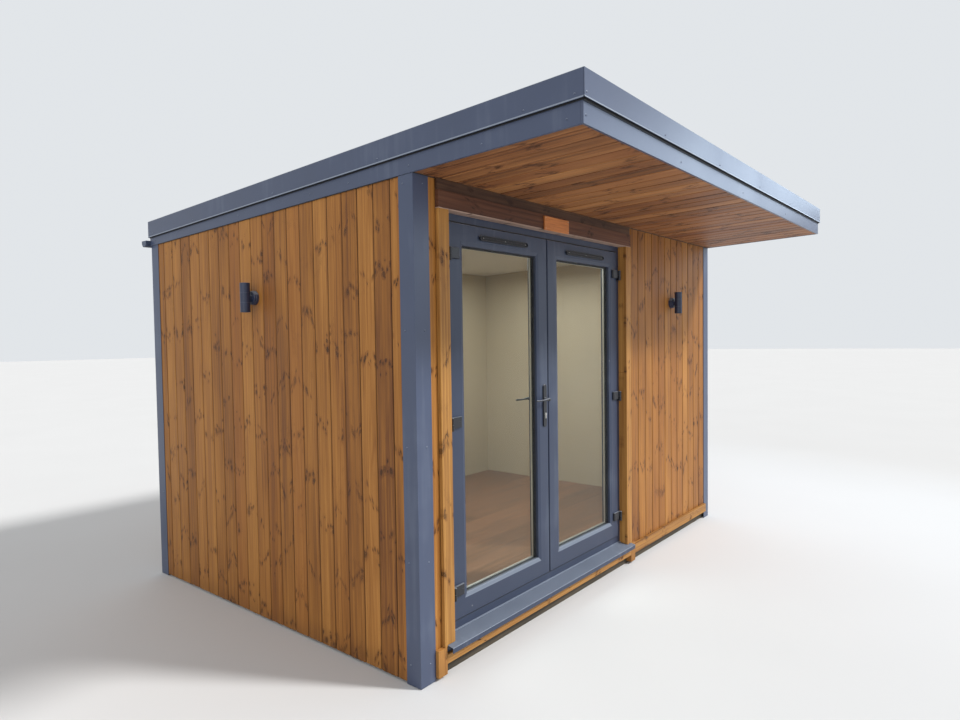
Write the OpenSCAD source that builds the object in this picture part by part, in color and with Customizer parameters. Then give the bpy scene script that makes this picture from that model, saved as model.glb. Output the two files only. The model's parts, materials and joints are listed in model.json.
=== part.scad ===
// Garden office pod: a small timber-clad room with a near-flat roof, a deep front
// canopy and a pair of glazed doors that open outwards.
// Local frame: x runs along the front wall from the left corner trim, y runs back
// from the face of the front corner trims, z is the height above the ground.
// The whole pod is then moved so that its box is centred on the origin.

/* [Building] */
// Width of the walls over the corner trims
wall_w = 3530; // [3300:50:4200]
// Depth of the walls over the corner trims
wall_d = 2435; // [2000:50:3000]
// Height of the roof trim at the front
front_h = 2505; // [2400:5:2700]
// Thickness of the insulated wall core
core_t = 112; // [80:1:150]
// Thickness of the inside wall and ceiling lining
lining_t = 12; // [9:1:15]
// Height of the top of the floor base above the ground
base_h = 105; // [100:1:150]
// Thickness of the floor deck
deck_t = 45; // [20:1:50]

/* [Roof] */
// How far the canopy reaches in front of the wall
canopy = 849; // [500:1:1000]
// Fall of the roof surface, in millimetres a metre
roof_fall = 45; // [10:1:50]
// Fall of the canopy underside and ceiling, in millimetres a metre
under_fall = 35; // [5:1:45]
// Height of the whole roof edge at the front
edge_h = 190; // [170:1:240]
// Height of the upper roof trim
trim_h = 105; // [80:1:120]
// How far the upper trim stands out from the fascia
trim_out = 11; // [10:1:30]
// Thickness of the folded metal trims
sheet_t = 3; // [2:0.5:4]
// Thickness of the fascia boards
fascia_t = 12; // [9:1:20]

/* [Cladding] */
// Cover width of one cladding board
board_w = 112; // [90:1:140]
// Thickness of the cladding boards
board_t = 19; // [16:1:25]
// Depth of the V joint between two boards
joint_d = 4; // [2:0.5:6]
// Leg of the corner trims on the front and back
corner_leg = 98; // [60:1:120]
// Leg of the corner trims on the sides
side_leg = 89; // [60:1:120]
// Bottom of the cladding on the sides and back
clad_low = 10; // [5:1:40]

/* [Doors] */
// Distance from the left corner to the middle of the door pair
door_x = 1097; // [1050:1:1200]
// Width of the door frame
frame_w = 1776; // [1700:1:1800]
// Height of the top of the door frame
frame_top = 2165; // [2100:1:2170]
// Height of the top of the sill at the door frame
sill_top = 165; // [155:1:175]
// Face width of the frame's side and top members
frame_face = 46; // [42:1:80]
// Width of the flat part of a leaf's side members
stile_flat = 85; // [60:1:95]
// Height of the flat part of a leaf's top member
top_flat = 85; // [60:1:120]
// Height of the flat part of a leaf's bottom member
bottom_flat = 91; // [60:1:120]
// Width of the sloping glazing bead round the glass
bead_w = 18; // [12:1:22]
// Thickness of a door leaf
leaf_t = 70; // [60:1:75]
// Gap between the two leaves where they meet
meet_gap = 10; // [8:1:14]
// Height of the lever's spindle
lever_z = 1210; // [1000:5:1300]

/* [Timber trims] */
// Width of the battens beside the doors
batten_w = 70; // [60:1:95]
// Height of the board over the doors
head_h = 82; // [60:1:100]
// How far the battens stand out from the corner trim faces
batten_out = 18; // [12:1:25]

/* [Lights] */
// Height of the middle of the wall lights
light_z = 1800; // [1600:10:1900]
// Length of a wall light's body
light_len = 160; // [120:1:220]
// Diameter of a wall light's body
light_dia = 54; // [45:1:80]

/* [Hidden] */
$fn = 48;

anthracite = "#33383d";
timber = "#b8742f";
soffit_timber = "#8a5230";
core_colour = "#c9bfa8";

// Faces of the wall layers, measured in from the corner trim faces
clad_face = sheet_t;
core_face = clad_face + board_t;
lining_face = core_face + core_t;
room_face = lining_face + lining_t;

// Roof surfaces as heights that depend on y
function top_z(y) = front_h - roof_fall * (y + canopy) / 1000;
function fascia_low(y) = front_h - edge_h - under_fall * (y + canopy) / 1000;
function under_z(y) = fascia_low(y);
function wall_top(y) = under_z(y) - seat;
under_angle = atan(under_fall / 1000);
soffit_t = 18;
soffit_lip = 2;
seat = 0.1;
membrane_t = 5;
membrane_drop = 12;
// Part of the side and back fascias' thickness that lies over the wall
fascia_in = 7;
fascia_out = fascia_t - fascia_in;
side_out = fascia_out + trim_out;
flange_w = 90;
back_y = wall_d + fascia_out;
// Lowest part of the roof trims, which leans out as a drip
kick = 4;
kick_h = 7;
// Bottom of the corner trims
trim_low = 2;

// Door set
frame_x0 = door_x - frame_w / 2;
frame_x1 = door_x + frame_w / 2;
frame_y = 41;
frame_depth = 73;
threshold_h = 42;
head_face = 49;
stop_lip = 20;
stop_t = 10;
leaf_gap = 5;
leaf_y = 29;
leaf_low = sill_top + threshold_h + leaf_gap;
leaf_high = frame_top - head_face - leaf_gap;
leaf_h = leaf_high - leaf_low;
leaf_w = frame_w / 2 - frame_face - leaf_gap - meet_gap / 2;
left_leaf_x = frame_x0 + frame_face + leaf_gap;
right_leaf_x = frame_x1 - frame_face - leaf_gap;
bead_d = 4;
glass_front = 24;
glass_t = 28;
glass_bite = 11;
pane_t = 4;

// Hinges: knuckles on the line where frame and leaf meet, in front of both
hinge_x = frame_x0 + frame_face - 3;
hinge_y = 12;
knuckle_r = 8;
pin_r = 4;
knuckle_h = 32;
hinge_heights = [350, 1158, 1960];
flag_w = 78;
flag_low = 20;
flag_t = 4;

// Lever handle
lever_x = left_leaf_x + leaf_w - 39;
plate_w = 30;
plate_h = 240;
plate_t = 10;
neck_r = 9;
lever_len = 120;
lever_bar = 11;

// Sill
sill_back = frame_y + frame_depth;
sill_nose = -50;
sill_front = 137;
sill_under = 117;
sill_sheet = 4;
rail_high = 127;

// Height of the sloping top of the sill
function sill_z(y) = sill_front + (sill_top - 6 - sill_front) * (y - sill_nose - 3) / (frame_y - sill_nose - 3);

// Side outline of an upright that stands on the sill and reaches the head board
function standing(span) = [
    [span[0], sill_z(span[0]) + seat], [span[1], sill_z(span[1]) + seat], [span[1], head_z], [span[0], head_z]
];

sill_x0 = frame_x0 - 47;
sill_x1 = frame_x1 + 47;

// Blocks that end the bottom rail beside the sill
foot_low = 15;
foot_high = 142;
foot_gap = 4;

// Timber trims round the doors
jamb_in = 5;
batten_left_x = frame_x0 + jamb_in;
batten_right_x = frame_x1 - jamb_in;
head_z = 2152;
batten_foot = foot_high + seat;
rail_low = 62;

// Wall lights
light_out = 58;
arm_r = 39;
light_back = 1235;
light_front_x = 2757;

// Gutter along the back
gutter_r = 32;
gutter_t = 3;
gutter_z = 2233;
gutter_out = 32;

// The box's centre is at the origin
reach_left = light_out + light_dia / 2;
reach_right = gutter_out;
reach_front = canopy + trim_out + kick;
reach_back = fascia_out + 2 * gutter_r;
origin_x = (wall_w + reach_right - reach_left) / 2;
origin_y = (wall_d + reach_back - reach_front) / 2;

// Moves a shape from the local frame of the walls to the pod's frame
module place() {
    translate([-origin_x, -origin_y, 0]) children();
}

// A solid between x0 and x1 whose side view is a list of [y, z] points
module side_profile(x0, x1, points) {
    translate([x0, 0, 0])
        rotate([90, 0, 90])
            linear_extrude(x1 - x0)
                polygon(points);
}

// A box from one corner to the other
module block(low, high) {
    translate(low) cube(high - low);
}

// A wall layer of the room: a slab whose top follows the underside of the roof
module sloped_slab(x0, x1, y0, y1, low) {
    side_profile(x0, x1, [[y0, low], [y1, low], [y1, wall_top(y1)], [y0, wall_top(y0)]]);
}

// The [u, v] outline of a row of V-jointed boards, with the outer face at v = 0
function joint_places(u0, u1, first) =
    [for (u = [first : board_w : u1 - joint_d - 1]) if (u > u0 + joint_d + 1) u];
function board_row(u0, u1, first, t) = concat(
    [[u0, t], [u0, 0]],
    [for (u = joint_places(u0, u1, first)) each [[u - joint_d, 0], [u, joint_d], [u + joint_d, 0]]],
    [[u1, 0], [u1, t]]
);

module ground_bearers() {
    bearer_w = 95;
    bearer_h = 45;
    count = 5;
    span = wall_d - 2 * core_face - bearer_w;
    color("#6b5a44") place()
        for (i = [0 : count - 1])
            translate([core_face, core_face + i * span / (count - 1), 0])
                cube([wall_w - 2 * core_face, bearer_w, bearer_h]);
}

module floor_base() {
    color("#6b5a44") place()
        block([core_face, core_face, 45], [wall_w - core_face, wall_d - core_face, base_h]);
}

module floor_deck() {
    top = base_h + deck_t;
    color("#8a6a4c") place() {
        block([lining_face, lining_face, base_h], [wall_w - lining_face, wall_d - lining_face, top]);
        // Strip in the doorway, up to the back of the door frame
        block([frame_x0, sill_back, base_h], [frame_x1, lining_face, top]);
    }
}

module left_wall() {
    color(core_colour) place()
        sloped_slab(core_face, lining_face, core_face, wall_d - core_face, base_h);
}

module right_wall() {
    color(core_colour) place()
        sloped_slab(wall_w - lining_face, wall_w - core_face, core_face, wall_d - core_face, base_h);
}

module back_wall() {
    color(core_colour) place()
        sloped_slab(lining_face, wall_w - lining_face, wall_d - lining_face, wall_d - core_face, base_h);
}

module front_wall_left() {
    color(core_colour) place()
        sloped_slab(lining_face, frame_x0, core_face, lining_face, base_h);
}

module front_wall_right() {
    color(core_colour) place()
        sloped_slab(frame_x1, wall_w - lining_face, core_face, lining_face, base_h);
}

module front_wall_head() {
    color(core_colour) place()
        sloped_slab(frame_x0, frame_x1, core_face, lining_face, frame_top);
}

module left_cladding() {
    row = board_row(clad_face, wall_d - clad_face, 150, board_t);
    color(timber) place()
        intersection() {
            linear_extrude(front_h) polygon([for (p = row) [clad_face + p[1], p[0]]]);
            sloped_slab(0, core_face, 0, wall_d, clad_low);
        }
}

module right_cladding() {
    row = board_row(clad_face, wall_d - clad_face, 150, board_t);
    color(timber) place()
        intersection() {
            linear_extrude(front_h) polygon([for (p = row) [wall_w - clad_face - p[1], p[0]]]);
            sloped_slab(wall_w - core_face, wall_w, 0, wall_d, clad_low);
        }
}

module back_cladding() {
    row = board_row(core_face, wall_w - core_face, 146, board_t);
    color(timber) place()
        intersection() {
            linear_extrude(front_h) polygon([for (p = row) [p[0], wall_d - clad_face - p[1]]]);
            sloped_slab(0, wall_w, wall_d - core_face, wall_d, clad_low);
        }
}

module front_cladding() {
    strip = board_row(core_face, frame_x0, 149, board_t);
    panel = board_row(frame_x1, wall_w - core_face, 2090, board_t);
    color(timber) place()
        intersection() {
            linear_extrude(front_h)
                for (row = [strip, panel])
                    polygon([for (p = row) [p[0], clad_face + p[1]]]);
            sloped_slab(0, wall_w, 0, core_face, base_h);
        }
}

module wall_linings() {
    low = base_h + deck_t;
    color("#c8bfae") place() {
        sloped_slab(lining_face, room_face, lining_face, wall_d - lining_face, low);
        sloped_slab(wall_w - room_face, wall_w - lining_face, lining_face, wall_d - lining_face, low);
        sloped_slab(room_face + 1, wall_w - room_face - 1, wall_d - room_face, wall_d - lining_face, low);
        sloped_slab(frame_x1, wall_w - room_face - 1, lining_face, room_face, low);
        sloped_slab(room_face + 1, frame_x0, lining_face, room_face, low);
        sloped_slab(frame_x0 + 1, frame_x1 - 1, lining_face, room_face, frame_top);
    }
}

module ceiling_lining() {
    y0 = room_face + 1;
    y1 = wall_d - room_face - 1;
    color("#e6e2d8") place()
        side_profile(room_face + 1, wall_w - room_face - 1, [
            [y0, wall_top(y0) - lining_t], [y1, wall_top(y1) - lining_t],
            [y1, wall_top(y1)], [y0, wall_top(y0)]
        ]);
}

// Tongued boards that run from the wall to the front fascia
module canopy_soffit() {
    row = board_row(fascia_in, wall_w - fascia_in, 62, soffit_t - soffit_lip - seat);
    y0 = -canopy + fascia_t;
    color(soffit_timber) place()
        intersection() {
            translate([0, -canopy, under_z(-canopy) + soffit_lip])
                rotate([-under_angle, 0, 0])
                    rotate([90, 0, 0])
                        translate([0, 0, -canopy - 50])
                            linear_extrude(canopy + 100)
                                polygon(row);
            block([0, y0, 0], [wall_w, 0, front_h]);
        }
}

module roof_panel() {
    y0 = -canopy + fascia_t;
    y1 = wall_d - fascia_in;
    drop = membrane_drop + membrane_t;
    color("#cfc7b4") place()
        side_profile(fascia_in, wall_w - fascia_in, [
            [y0, under_z(y0) + soffit_t], [0, under_z(0) + soffit_t], [0, under_z(0)],
            [y1, under_z(y1)], [y1, top_z(y1) - drop], [y0, top_z(y0) - drop]
        ]);
}

module roof_membrane() {
    y0 = -canopy + fascia_t;
    y1 = wall_d - fascia_in;
    drop = membrane_drop + membrane_t;
    color("#2b2c2e") place()
        side_profile(fascia_in, wall_w - fascia_in, [
            [y0, top_z(y0) - drop + seat], [y1, top_z(y1) - drop + seat],
            [y1, top_z(y1) - membrane_drop], [y0, top_z(y0) - membrane_drop]
        ]);
}

module front_fascia() {
    y0 = -canopy;
    y1 = -canopy + fascia_t;
    cap = sheet_t + seat;
    color(anthracite) place()
        side_profile(-fascia_out, wall_w + fascia_out, [
            [y0, fascia_low(y0)], [y1, fascia_low(y0)], [y1, top_z(y1) - cap], [y0, top_z(y0) - cap]
        ]);
}

module side_and_back_fascias() {
    y0 = -canopy + fascia_t;
    y1 = back_y;
    y2 = back_y - fascia_t;
    cap = sheet_t + seat;
    side = [
        [y0, fascia_low(y0)], [y1, fascia_low(y1)], [y1, top_z(y1) - cap], [y0, top_z(y0) - cap]
    ];
    color(anthracite) place() {
        side_profile(-fascia_out, fascia_in, side);
        side_profile(wall_w - fascia_in, wall_w + fascia_out, side);
        side_profile(fascia_in + seat, wall_w - fascia_in - seat, [
            [y2, fascia_low(y2)], [y1, fascia_low(y1)], [y1, top_z(y1) - cap], [y2, top_z(y2) - cap]
        ]);
    }
}

// Section of a folded roof trim, with its face at u = 0 and its top at v = 0:
// a flange on the roof, a flat face and a drip edge that leans out
trim_section = [
    [-kick, -trim_h], [0, kick_h - trim_h], [0, 0], [flange_w, 0], [flange_w, -sheet_t],
    [sheet_t, -sheet_t], [sheet_t, kick_h + 1 - trim_h], [sheet_t - kick, -trim_h]
];

// The drip edge is cut to a mitre at both ends
module front_roof_trim() {
    y0 = -canopy - trim_out;
    low = top_z(y0) - trim_h;
    bend = low + kick_h;
    drip = side_out + kick;
    color(anthracite) place()
        intersection() {
            side_profile(-drip, wall_w + drip, [
                for (p = trim_section) [y0 + p[0], top_z(y0 + max(p[0], 0)) + p[1]]
            ]);
            translate([0, y0 + flange_w + 1, 0])
                rotate([90, 0, 0])
                    linear_extrude(flange_w + kick + 2)
                        polygon([
                            [-drip, low - 1], [wall_w + drip, low - 1], [wall_w + drip, low],
                            [wall_w + side_out, bend], [wall_w + side_out, bend + trim_h],
                            [-side_out, bend + trim_h], [-side_out, bend], [-drip, low]
                        ]);
        }
}

// A length of sheet along the roof's left edge, from a section whose top lies on the roof line
module edge_sheet(y0, y1, section) {
    intersection() {
        translate([-side_out, y0, top_z(y0)])
            rotate([-atan(roof_fall / 1000), 0, 0])
                rotate([90, 0, 0])
                    translate([0, 0, y0 - y1 - 100])
                        linear_extrude(y1 - y0 + 150)
                            polygon(section);
        block([-side_out - kick - 1, y0, 0], [flange_w, y1, front_h + 1]);
    }
}

// One side trim at the left edge, as its outline is the same on both sides
module side_trim() {
    edge_sheet(-canopy - trim_out + sheet_t, back_y, [
        [-kick, -trim_h], [0, kick_h - trim_h], [0, -sheet_t], [sheet_t, -sheet_t],
        [sheet_t, kick_h + 1 - trim_h], [sheet_t - kick, -trim_h]
    ]);
    edge_sheet(-canopy - trim_out + flange_w, back_y, [
        [0, 0], [flange_w, 0], [flange_w, -sheet_t], [0, -sheet_t]
    ]);
}

module side_roof_trims() {
    color(anthracite) place() {
        side_trim();
        translate([wall_w, 0, 0]) mirror([1, 0, 0]) side_trim();
    }
}

// Drip trim at the back, over the gutter, flat on the fascia
module back_roof_trim() {
    y1 = back_y + sheet_t;
    y0 = y1 - flange_w;
    inset = -side_out + flange_w;
    color(anthracite) place() {
        side_profile(inset, wall_w - inset, [
            [y0, top_z(y0) - sheet_t], [y1, top_z(y1) - sheet_t], [y1, top_z(y1)], [y0, top_z(y0)]
        ]);
        block([-side_out, back_y, top_z(y1) - trim_h], [wall_w + side_out, y1, top_z(y1)]);
    }
}

// Angle trims that cover the four corners of the cladding
module corner_trims() {
    angle = [
        [0, 0], [corner_leg, 0], [corner_leg, sheet_t], [sheet_t, sheet_t],
        [sheet_t, side_leg], [0, side_leg]
    ];
    color(anthracite) place()
        intersection() {
            linear_extrude(front_h) {
                polygon(angle);
                translate([wall_w, 0]) mirror([1, 0]) polygon(angle);
                translate([0, wall_d]) mirror([0, 1]) polygon(angle);
                translate([wall_w, wall_d]) mirror([1, 0]) mirror([0, 1]) polygon(angle);
            }
            sloped_slab(-1, wall_w + 1, -1, wall_d + 1, trim_low);
        }
}

// Half-round gutter with closed ends and a bracket every 800 mm or so
module gutter() {
    yc = back_y + gutter_r;
    outer = gutter_r;
    inner = gutter_r - gutter_t;
    drop = 11;
    length = wall_w + 2 * gutter_out;
    brackets = 5;
    color(anthracite) place() {
        translate([-gutter_out, yc, gutter_z - drop])
            rotate([90, 0, 90]) {
                linear_extrude(length)
                    difference() {
                        union() {
                            circle(outer);
                            translate([-outer, 0]) square([2 * outer, drop]);
                        }
                        circle(inner);
                        translate([-inner, 0]) square([2 * inner, drop + 1]);
                        translate([-outer - 1, drop]) square([2 * outer + 2, outer]);
                    }
                for (x = [0, length - gutter_t])
                    translate([0, 0, x])
                        linear_extrude(gutter_t) {
                            intersection() {
                                circle(inner + 1);
                                translate([-outer, -outer]) square([2 * outer, outer]);
                            }
                            translate([-inner - 1, 0]) square([2 * inner + 2, drop]);
                        }
            }
        for (i = [0 : brackets - 1])
            translate([150 + i * (wall_w - 300) / (brackets - 1), back_y, gutter_z - 5])
                cube([25, 2 * gutter_r, 6]);
    }
}

// Outline of the glazing bead: u runs in from the flat part's edge, v runs in from the leaf's face
groove_u = bead_w - glass_bite - 1;
bead_section = [
    [-1, 0], [0, 0], [bead_w, bead_d], [bead_w, glass_front], [groove_u, glass_front],
    [groove_u, glass_front + glass_t], [bead_w, glass_front + glass_t],
    [bead_w, leaf_t - 8], [bead_w - 10, leaf_t], [-1, leaf_t]
];

// A bead along the bottom edge of an opening, cut at 45 degrees at both ends
module mitred_bead(length) {
    intersection() {
        translate([-1, 0, 0])
            rotate([90, 0, 90]) linear_extrude(length + 2) polygon([for (p = bead_section) [p[1], p[0]]]);
        translate([0, leaf_t + 1, 0])
            rotate([90, 0, 0])
                linear_extrude(leaf_t + 2)
                    polygon([
                        [-1, -1], [length + 1, -1], [length - bead_w, bead_w], [bead_w, bead_w]
                    ]);
    }
}

// A welded leaf frame with its low corner at the origin and its face at y = 0
module leaf_frame(w, h) {
    ow = w - 2 * stile_flat;
    oh = h - top_flat - bottom_flat;
    difference() {
        cube([w, leaf_t, h]);
        translate([stile_flat, -1, bottom_flat]) cube([ow, leaf_t + 2, oh]);
    }
    translate([stile_flat, 0, bottom_flat]) {
        mitred_bead(ow);
        translate([0, 0, oh]) mirror([0, 0, 1]) mitred_bead(ow);
        translate([0, 0, oh]) rotate([0, 90, 0]) mitred_bead(oh);
        translate([ow, 0, 0]) rotate([0, -90, 0]) mitred_bead(oh);
    }
}

// Two panes of a sealed glass unit for a leaf with its low corner at the origin
module glass_unit(w, h) {
    side = stile_flat + groove_u + 1;
    low = bottom_flat + groove_u + 1;
    high = h - top_flat - groove_u - 1;
    for (y = [glass_front, glass_front + glass_t - pane_t])
        block([side, y, low], [w - side, y + pane_t, high]);
}

// Slim canopy vent for a leaf's top member, seated on its face
module vent_cover(w, h, vent_w, shift) {
    vent_h = 27;
    translate([(w - vent_w) / 2 + shift, 0, h - vent_h / 2 - 54])
        rotate([90, 0, 90])
            linear_extrude(vent_w)
                polygon([[0, 0], [-8, 2], [-11, 9], [-11, 17], [0, vent_h]]);
}

module door_frame() {
    jamb = [
        [0, 0], [frame_face - 4, 0], [frame_face, 4], [frame_face, frame_depth - stop_t],
        [frame_face + stop_lip, frame_depth - stop_t], [frame_face + stop_lip, frame_depth], [0, frame_depth]
    ];
    lip_z = leaf_low - leaf_gap;
    color(anthracite) place()
        translate([0, frame_y, 0]) {
            // Side members
            for (side = [0, 1])
                translate([side == 0 ? frame_x0 : frame_x1, 0, sill_top])
                    mirror([side, 0, 0])
                        linear_extrude(frame_top - sill_top) polygon(jamb);
            // Top member with its stop
            block([frame_x0 + frame_face - 1, 0, frame_top - head_face],
                [frame_x1 - frame_face + 1, frame_depth, frame_top]);
            block([frame_x0 + frame_face - 1, frame_depth - stop_t, frame_top - head_face - stop_lip],
                [frame_x1 - frame_face + 1, frame_depth, frame_top]);
            // Threshold with its stop
            block([frame_x0 + frame_face - 1, 0, sill_top],
                [frame_x1 - frame_face + 1, frame_depth, lip_z]);
            block([frame_x0 + frame_face - 1, frame_depth - stop_t, sill_top],
                [frame_x1 - frame_face + 1, frame_depth, lip_z + stop_lip]);
        }
}

module door_sill() {
    color(anthracite) place() {
        side_profile(sill_x0, sill_x1, [
            [clad_face - 5, base_h], [clad_face - 5, sill_z(clad_face - 5) - sill_sheet],
            [sill_nose + sill_sheet, sill_z(sill_nose + sill_sheet) - sill_sheet],
            [sill_nose + sill_sheet, sill_under], [sill_nose, sill_under], [sill_nose, sill_front - 3],
            [sill_nose + 3, sill_front], [clad_face, sill_z(clad_face)], [clad_face, base_h]
        ]);
        side_profile(frame_x0, frame_x1, [
            [clad_face - 1, base_h], [clad_face - 1, sill_z(clad_face - 1)], [frame_y, sill_z(frame_y)],
            [frame_y, sill_top], [sill_back, sill_top], [sill_back, base_h]
        ]);
    }
}

// Battens and reveals whose feet are cut to the slope of the sill
module jamb_battens() {
    color(timber) place()
        for (side = [0, 1])
            translate([side * 2 * door_x, 0, 0])
                mirror([side, 0, 0]) {
                    side_profile(sill_x0, batten_left_x, standing([-batten_out, clad_face]));
                    block([batten_left_x - batten_w, -batten_out, batten_foot], [sill_x0, clad_face, head_z]);
                    side_profile(frame_x0, batten_left_x, standing([clad_face - 1, frame_y]));
                }
}

module head_board() {
    x0 = batten_left_x - batten_w;
    x1 = batten_right_x + batten_w;
    color(timber) place() {
        block([x0, -batten_out, head_z], [x1, clad_face, head_z + head_h]);
        block([frame_x0, clad_face, head_z], [frame_x1, core_face, head_z + head_h]);
        block([frame_x0, core_face, head_z], [frame_x1, frame_y, frame_top]);
    }
}

module head_batten() {
    low = head_z + head_h;
    color("#6a4630") place()
        side_profile(batten_left_x - batten_w, batten_right_x + batten_w, [
            [-10, low], [clad_face, low], [clad_face, wall_top(clad_face)], [-seat, wall_top(0)],
            [-seat, under_z(0) + soffit_lip - seat], [-10, under_z(0) + soffit_lip - seat]
        ]);
}

module bottom_rail() {
    color(timber) place() {
        block([corner_leg, -batten_out, rail_low], [wall_w - corner_leg, core_face, base_h]);
        block([sill_x1 + foot_gap, -batten_out, base_h - 1], [wall_w - corner_leg, clad_face, rail_high]);
        // Blocks beside the sill, which carry the outer edges of the battens
        for (side = [0, 1])
            translate([side * 2 * door_x, 0, 0])
                mirror([side, 0, 0]) {
                    block([corner_leg, -batten_out, foot_low], [sill_x0 - foot_gap, core_face, base_h]);
                    block([corner_leg, -batten_out, base_h - 1], [sill_x0 - foot_gap, clad_face, foot_high]);
                }
    }
}

module name_plaque() {
    color("#c8783c") place()
        translate([994, -batten_out, head_z - 2])
            rotate([90, 0, 90])
                linear_extrude(250)
                    polygon([[0, 0], [-8, 0], [-10, 2], [-10, 74], [-8, 76], [0, 76]]);
}

// Up and down light: a body on a round back that reaches the cladding
module wall_light() {
    difference() {
        translate([0, 0, -light_len / 2]) cylinder(d = light_dia, h = light_len);
        // Recessed lamps at both ends
        for (end = [0, 1])
            mirror([0, 0, end])
                translate([0, 0, light_len / 2 - 12])
                    cylinder(r = light_dia / 2 - 4, h = 13);
    }
    translate([0, 20, 0]) rotate([-90, 0, 0]) cylinder(r = arm_r, h = light_out + clad_face - 20);
}

module left_wall_light() {
    color(anthracite) place()
        translate([-light_out, light_back, light_z]) rotate([0, 0, -90]) wall_light();
}

module front_wall_light() {
    color(anthracite) place()
        translate([light_front_x, -light_out, light_z]) wall_light();
}

// Frame half of one hinge: lower knuckle, pin and the plate on the frame
module hinge_frame_half() {
    back = frame_y - hinge_y;
    translate([0, 0, -knuckle_h]) cylinder(r = knuckle_r, h = knuckle_h - 1);
    translate([0, 0, -2]) cylinder(r = pin_r, h = knuckle_h);
    block([-32, back - flag_t, -knuckle_h], [-2, back, -1]);
    block([-28, 6, -knuckle_h], [-2, back - flag_t + 1, -1]);
    block([-8, 0, -knuckle_h], [-2, 7, -1]);
}

// Leaf half of one hinge: upper knuckle with its bore and the flag on the leaf
module hinge_leaf_half() {
    face = leaf_y - hinge_y;
    difference() {
        union() {
            cylinder(r = knuckle_r, h = knuckle_h);
            block([2, 0, 0], [14, face, knuckle_h]);
        }
        translate([0, 0, -1]) cylinder(r = pin_r + 0.1, h = knuckle_h + 2);
    }
    translate([0, 0, -flag_low])
        linear_extrude(flag_low + knuckle_h)
            polygon([[13, face], [13, 6], [16, 4], [flag_w - 6, 4], [flag_w, 10], [flag_w, face]]);
}

module frame_hinges() {
    color("#1d1f22") place()
        for (z = hinge_heights) {
            translate([hinge_x, hinge_y, z]) hinge_frame_half();
            translate([2 * door_x - hinge_x, hinge_y, z]) mirror([1, 0, 0]) hinge_frame_half();
        }
}

module left_door_hinges() {
    color("#1d1f22") place()
        for (z = hinge_heights)
            translate([hinge_x, hinge_y, z]) hinge_leaf_half();
}

module right_door_hinges() {
    color("#1d1f22") place()
        for (z = hinge_heights)
            translate([2 * door_x - hinge_x, hinge_y, z]) mirror([1, 0, 0]) hinge_leaf_half();
}

module left_door() {
    color(anthracite) place()
        difference() {
            translate([left_leaf_x, leaf_y, leaf_low]) leaf_frame(leaf_w, leaf_h);
            translate([lever_x, leaf_y - 1, lever_z])
                rotate([-90, 0, 0])
                    cylinder(r = neck_r + 1, h = leaf_t + 2);
        }
}

module right_door() {
    color(anthracite) place()
        translate([right_leaf_x - leaf_w, leaf_y, leaf_low]) leaf_frame(leaf_w, leaf_h);
}

module left_glass() {
    color("#cfe0e0", 0.4) place()
        translate([left_leaf_x, leaf_y, leaf_low]) glass_unit(leaf_w, leaf_h);
}

module right_glass() {
    color("#cfe0e0", 0.4) place()
        translate([right_leaf_x - leaf_w, leaf_y, leaf_low]) glass_unit(leaf_w, leaf_h);
}

module left_door_vent() {
    color("#25292d") place()
        translate([left_leaf_x, leaf_y, leaf_low]) vent_cover(leaf_w, leaf_h, 410, 16);
}

module right_door_vent() {
    color("#25292d") place()
        translate([right_leaf_x - leaf_w, leaf_y, leaf_low]) vent_cover(leaf_w, leaf_h, 450, 0);
}

// Long back plate with rounded ends, a lever hole and a key cylinder below it
module back_plate() {
    low = -155;
    rotate([90, 0, 0])
        linear_extrude(plate_t)
            difference() {
                union() {
                    translate([-plate_w / 2, low + plate_w / 2]) square([plate_w, plate_h - plate_w]);
                    translate([0, low + plate_w / 2]) circle(plate_w / 2);
                    translate([0, low + plate_h - plate_w / 2]) circle(plate_w / 2);
                }
                circle(neck_r + 1);
            }
    translate([0, -plate_t - 4, -83]) rotate([-90, 0, 0]) cylinder(r = 8.5, h = 6);
    translate([-5, -plate_t - 4, -107]) cube([10, 6, 24]);
}

module handle_plates() {
    color("#1a1c1f") place() {
        translate([lever_x, leaf_y, lever_z]) back_plate();
        translate([lever_x, leaf_y + leaf_t, lever_z]) mirror([0, 1, 0]) back_plate();
    }
}

// One lever that points to -x, with its neck on the spindle line at y = 0
module lever() {
    reach = 33;
    rotate([90, 0, 0]) cylinder(r = neck_r, h = reach);
    translate([0, -reach, 0])
        rotate([90, 0, 0])
            linear_extrude(lever_bar)
                union() {
                    circle(10);
                    polygon([
                        [0, 8], [-40, 6.5], [-80, 6], [-lever_len, 6], [-lever_len, -4],
                        [-80, -4.5], [-40, -5], [0, -8]
                    ]);
                    translate([-lever_len, 1]) circle(5);
                }
}

module lever_handle() {
    color("#1a1c1f") place()
        translate([lever_x, 0, lever_z]) {
            translate([0, leaf_y + 2, 0]) lever();
            translate([0, leaf_y + leaf_t - 2, 0]) mirror([0, 1, 0]) lever();
            translate([-4, leaf_y, -4]) cube([8, leaf_t, 8]);
        }
}

ground_bearers();
floor_base();
floor_deck();
left_wall();
right_wall();
back_wall();
front_wall_left();
front_wall_right();
front_wall_head();
left_cladding();
right_cladding();
back_cladding();
front_cladding();
wall_linings();
ceiling_lining();
canopy_soffit();
roof_panel();
roof_membrane();
front_fascia();
side_and_back_fascias();
front_roof_trim();
side_roof_trims();
back_roof_trim();
corner_trims();
gutter();
door_frame();
door_sill();
jamb_battens();
head_board();
head_batten();
bottom_rail();
name_plaque();
left_wall_light();
front_wall_light();
frame_hinges();
left_door();
left_glass();
left_door_vent();
left_door_hinges();
handle_plates();
lever_handle();
right_door();
right_glass();
right_door_vent();
right_door_hinges();
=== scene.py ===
import json
import math
import random

import bmesh
import bpy
from mathutils import Matrix, Vector


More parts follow.
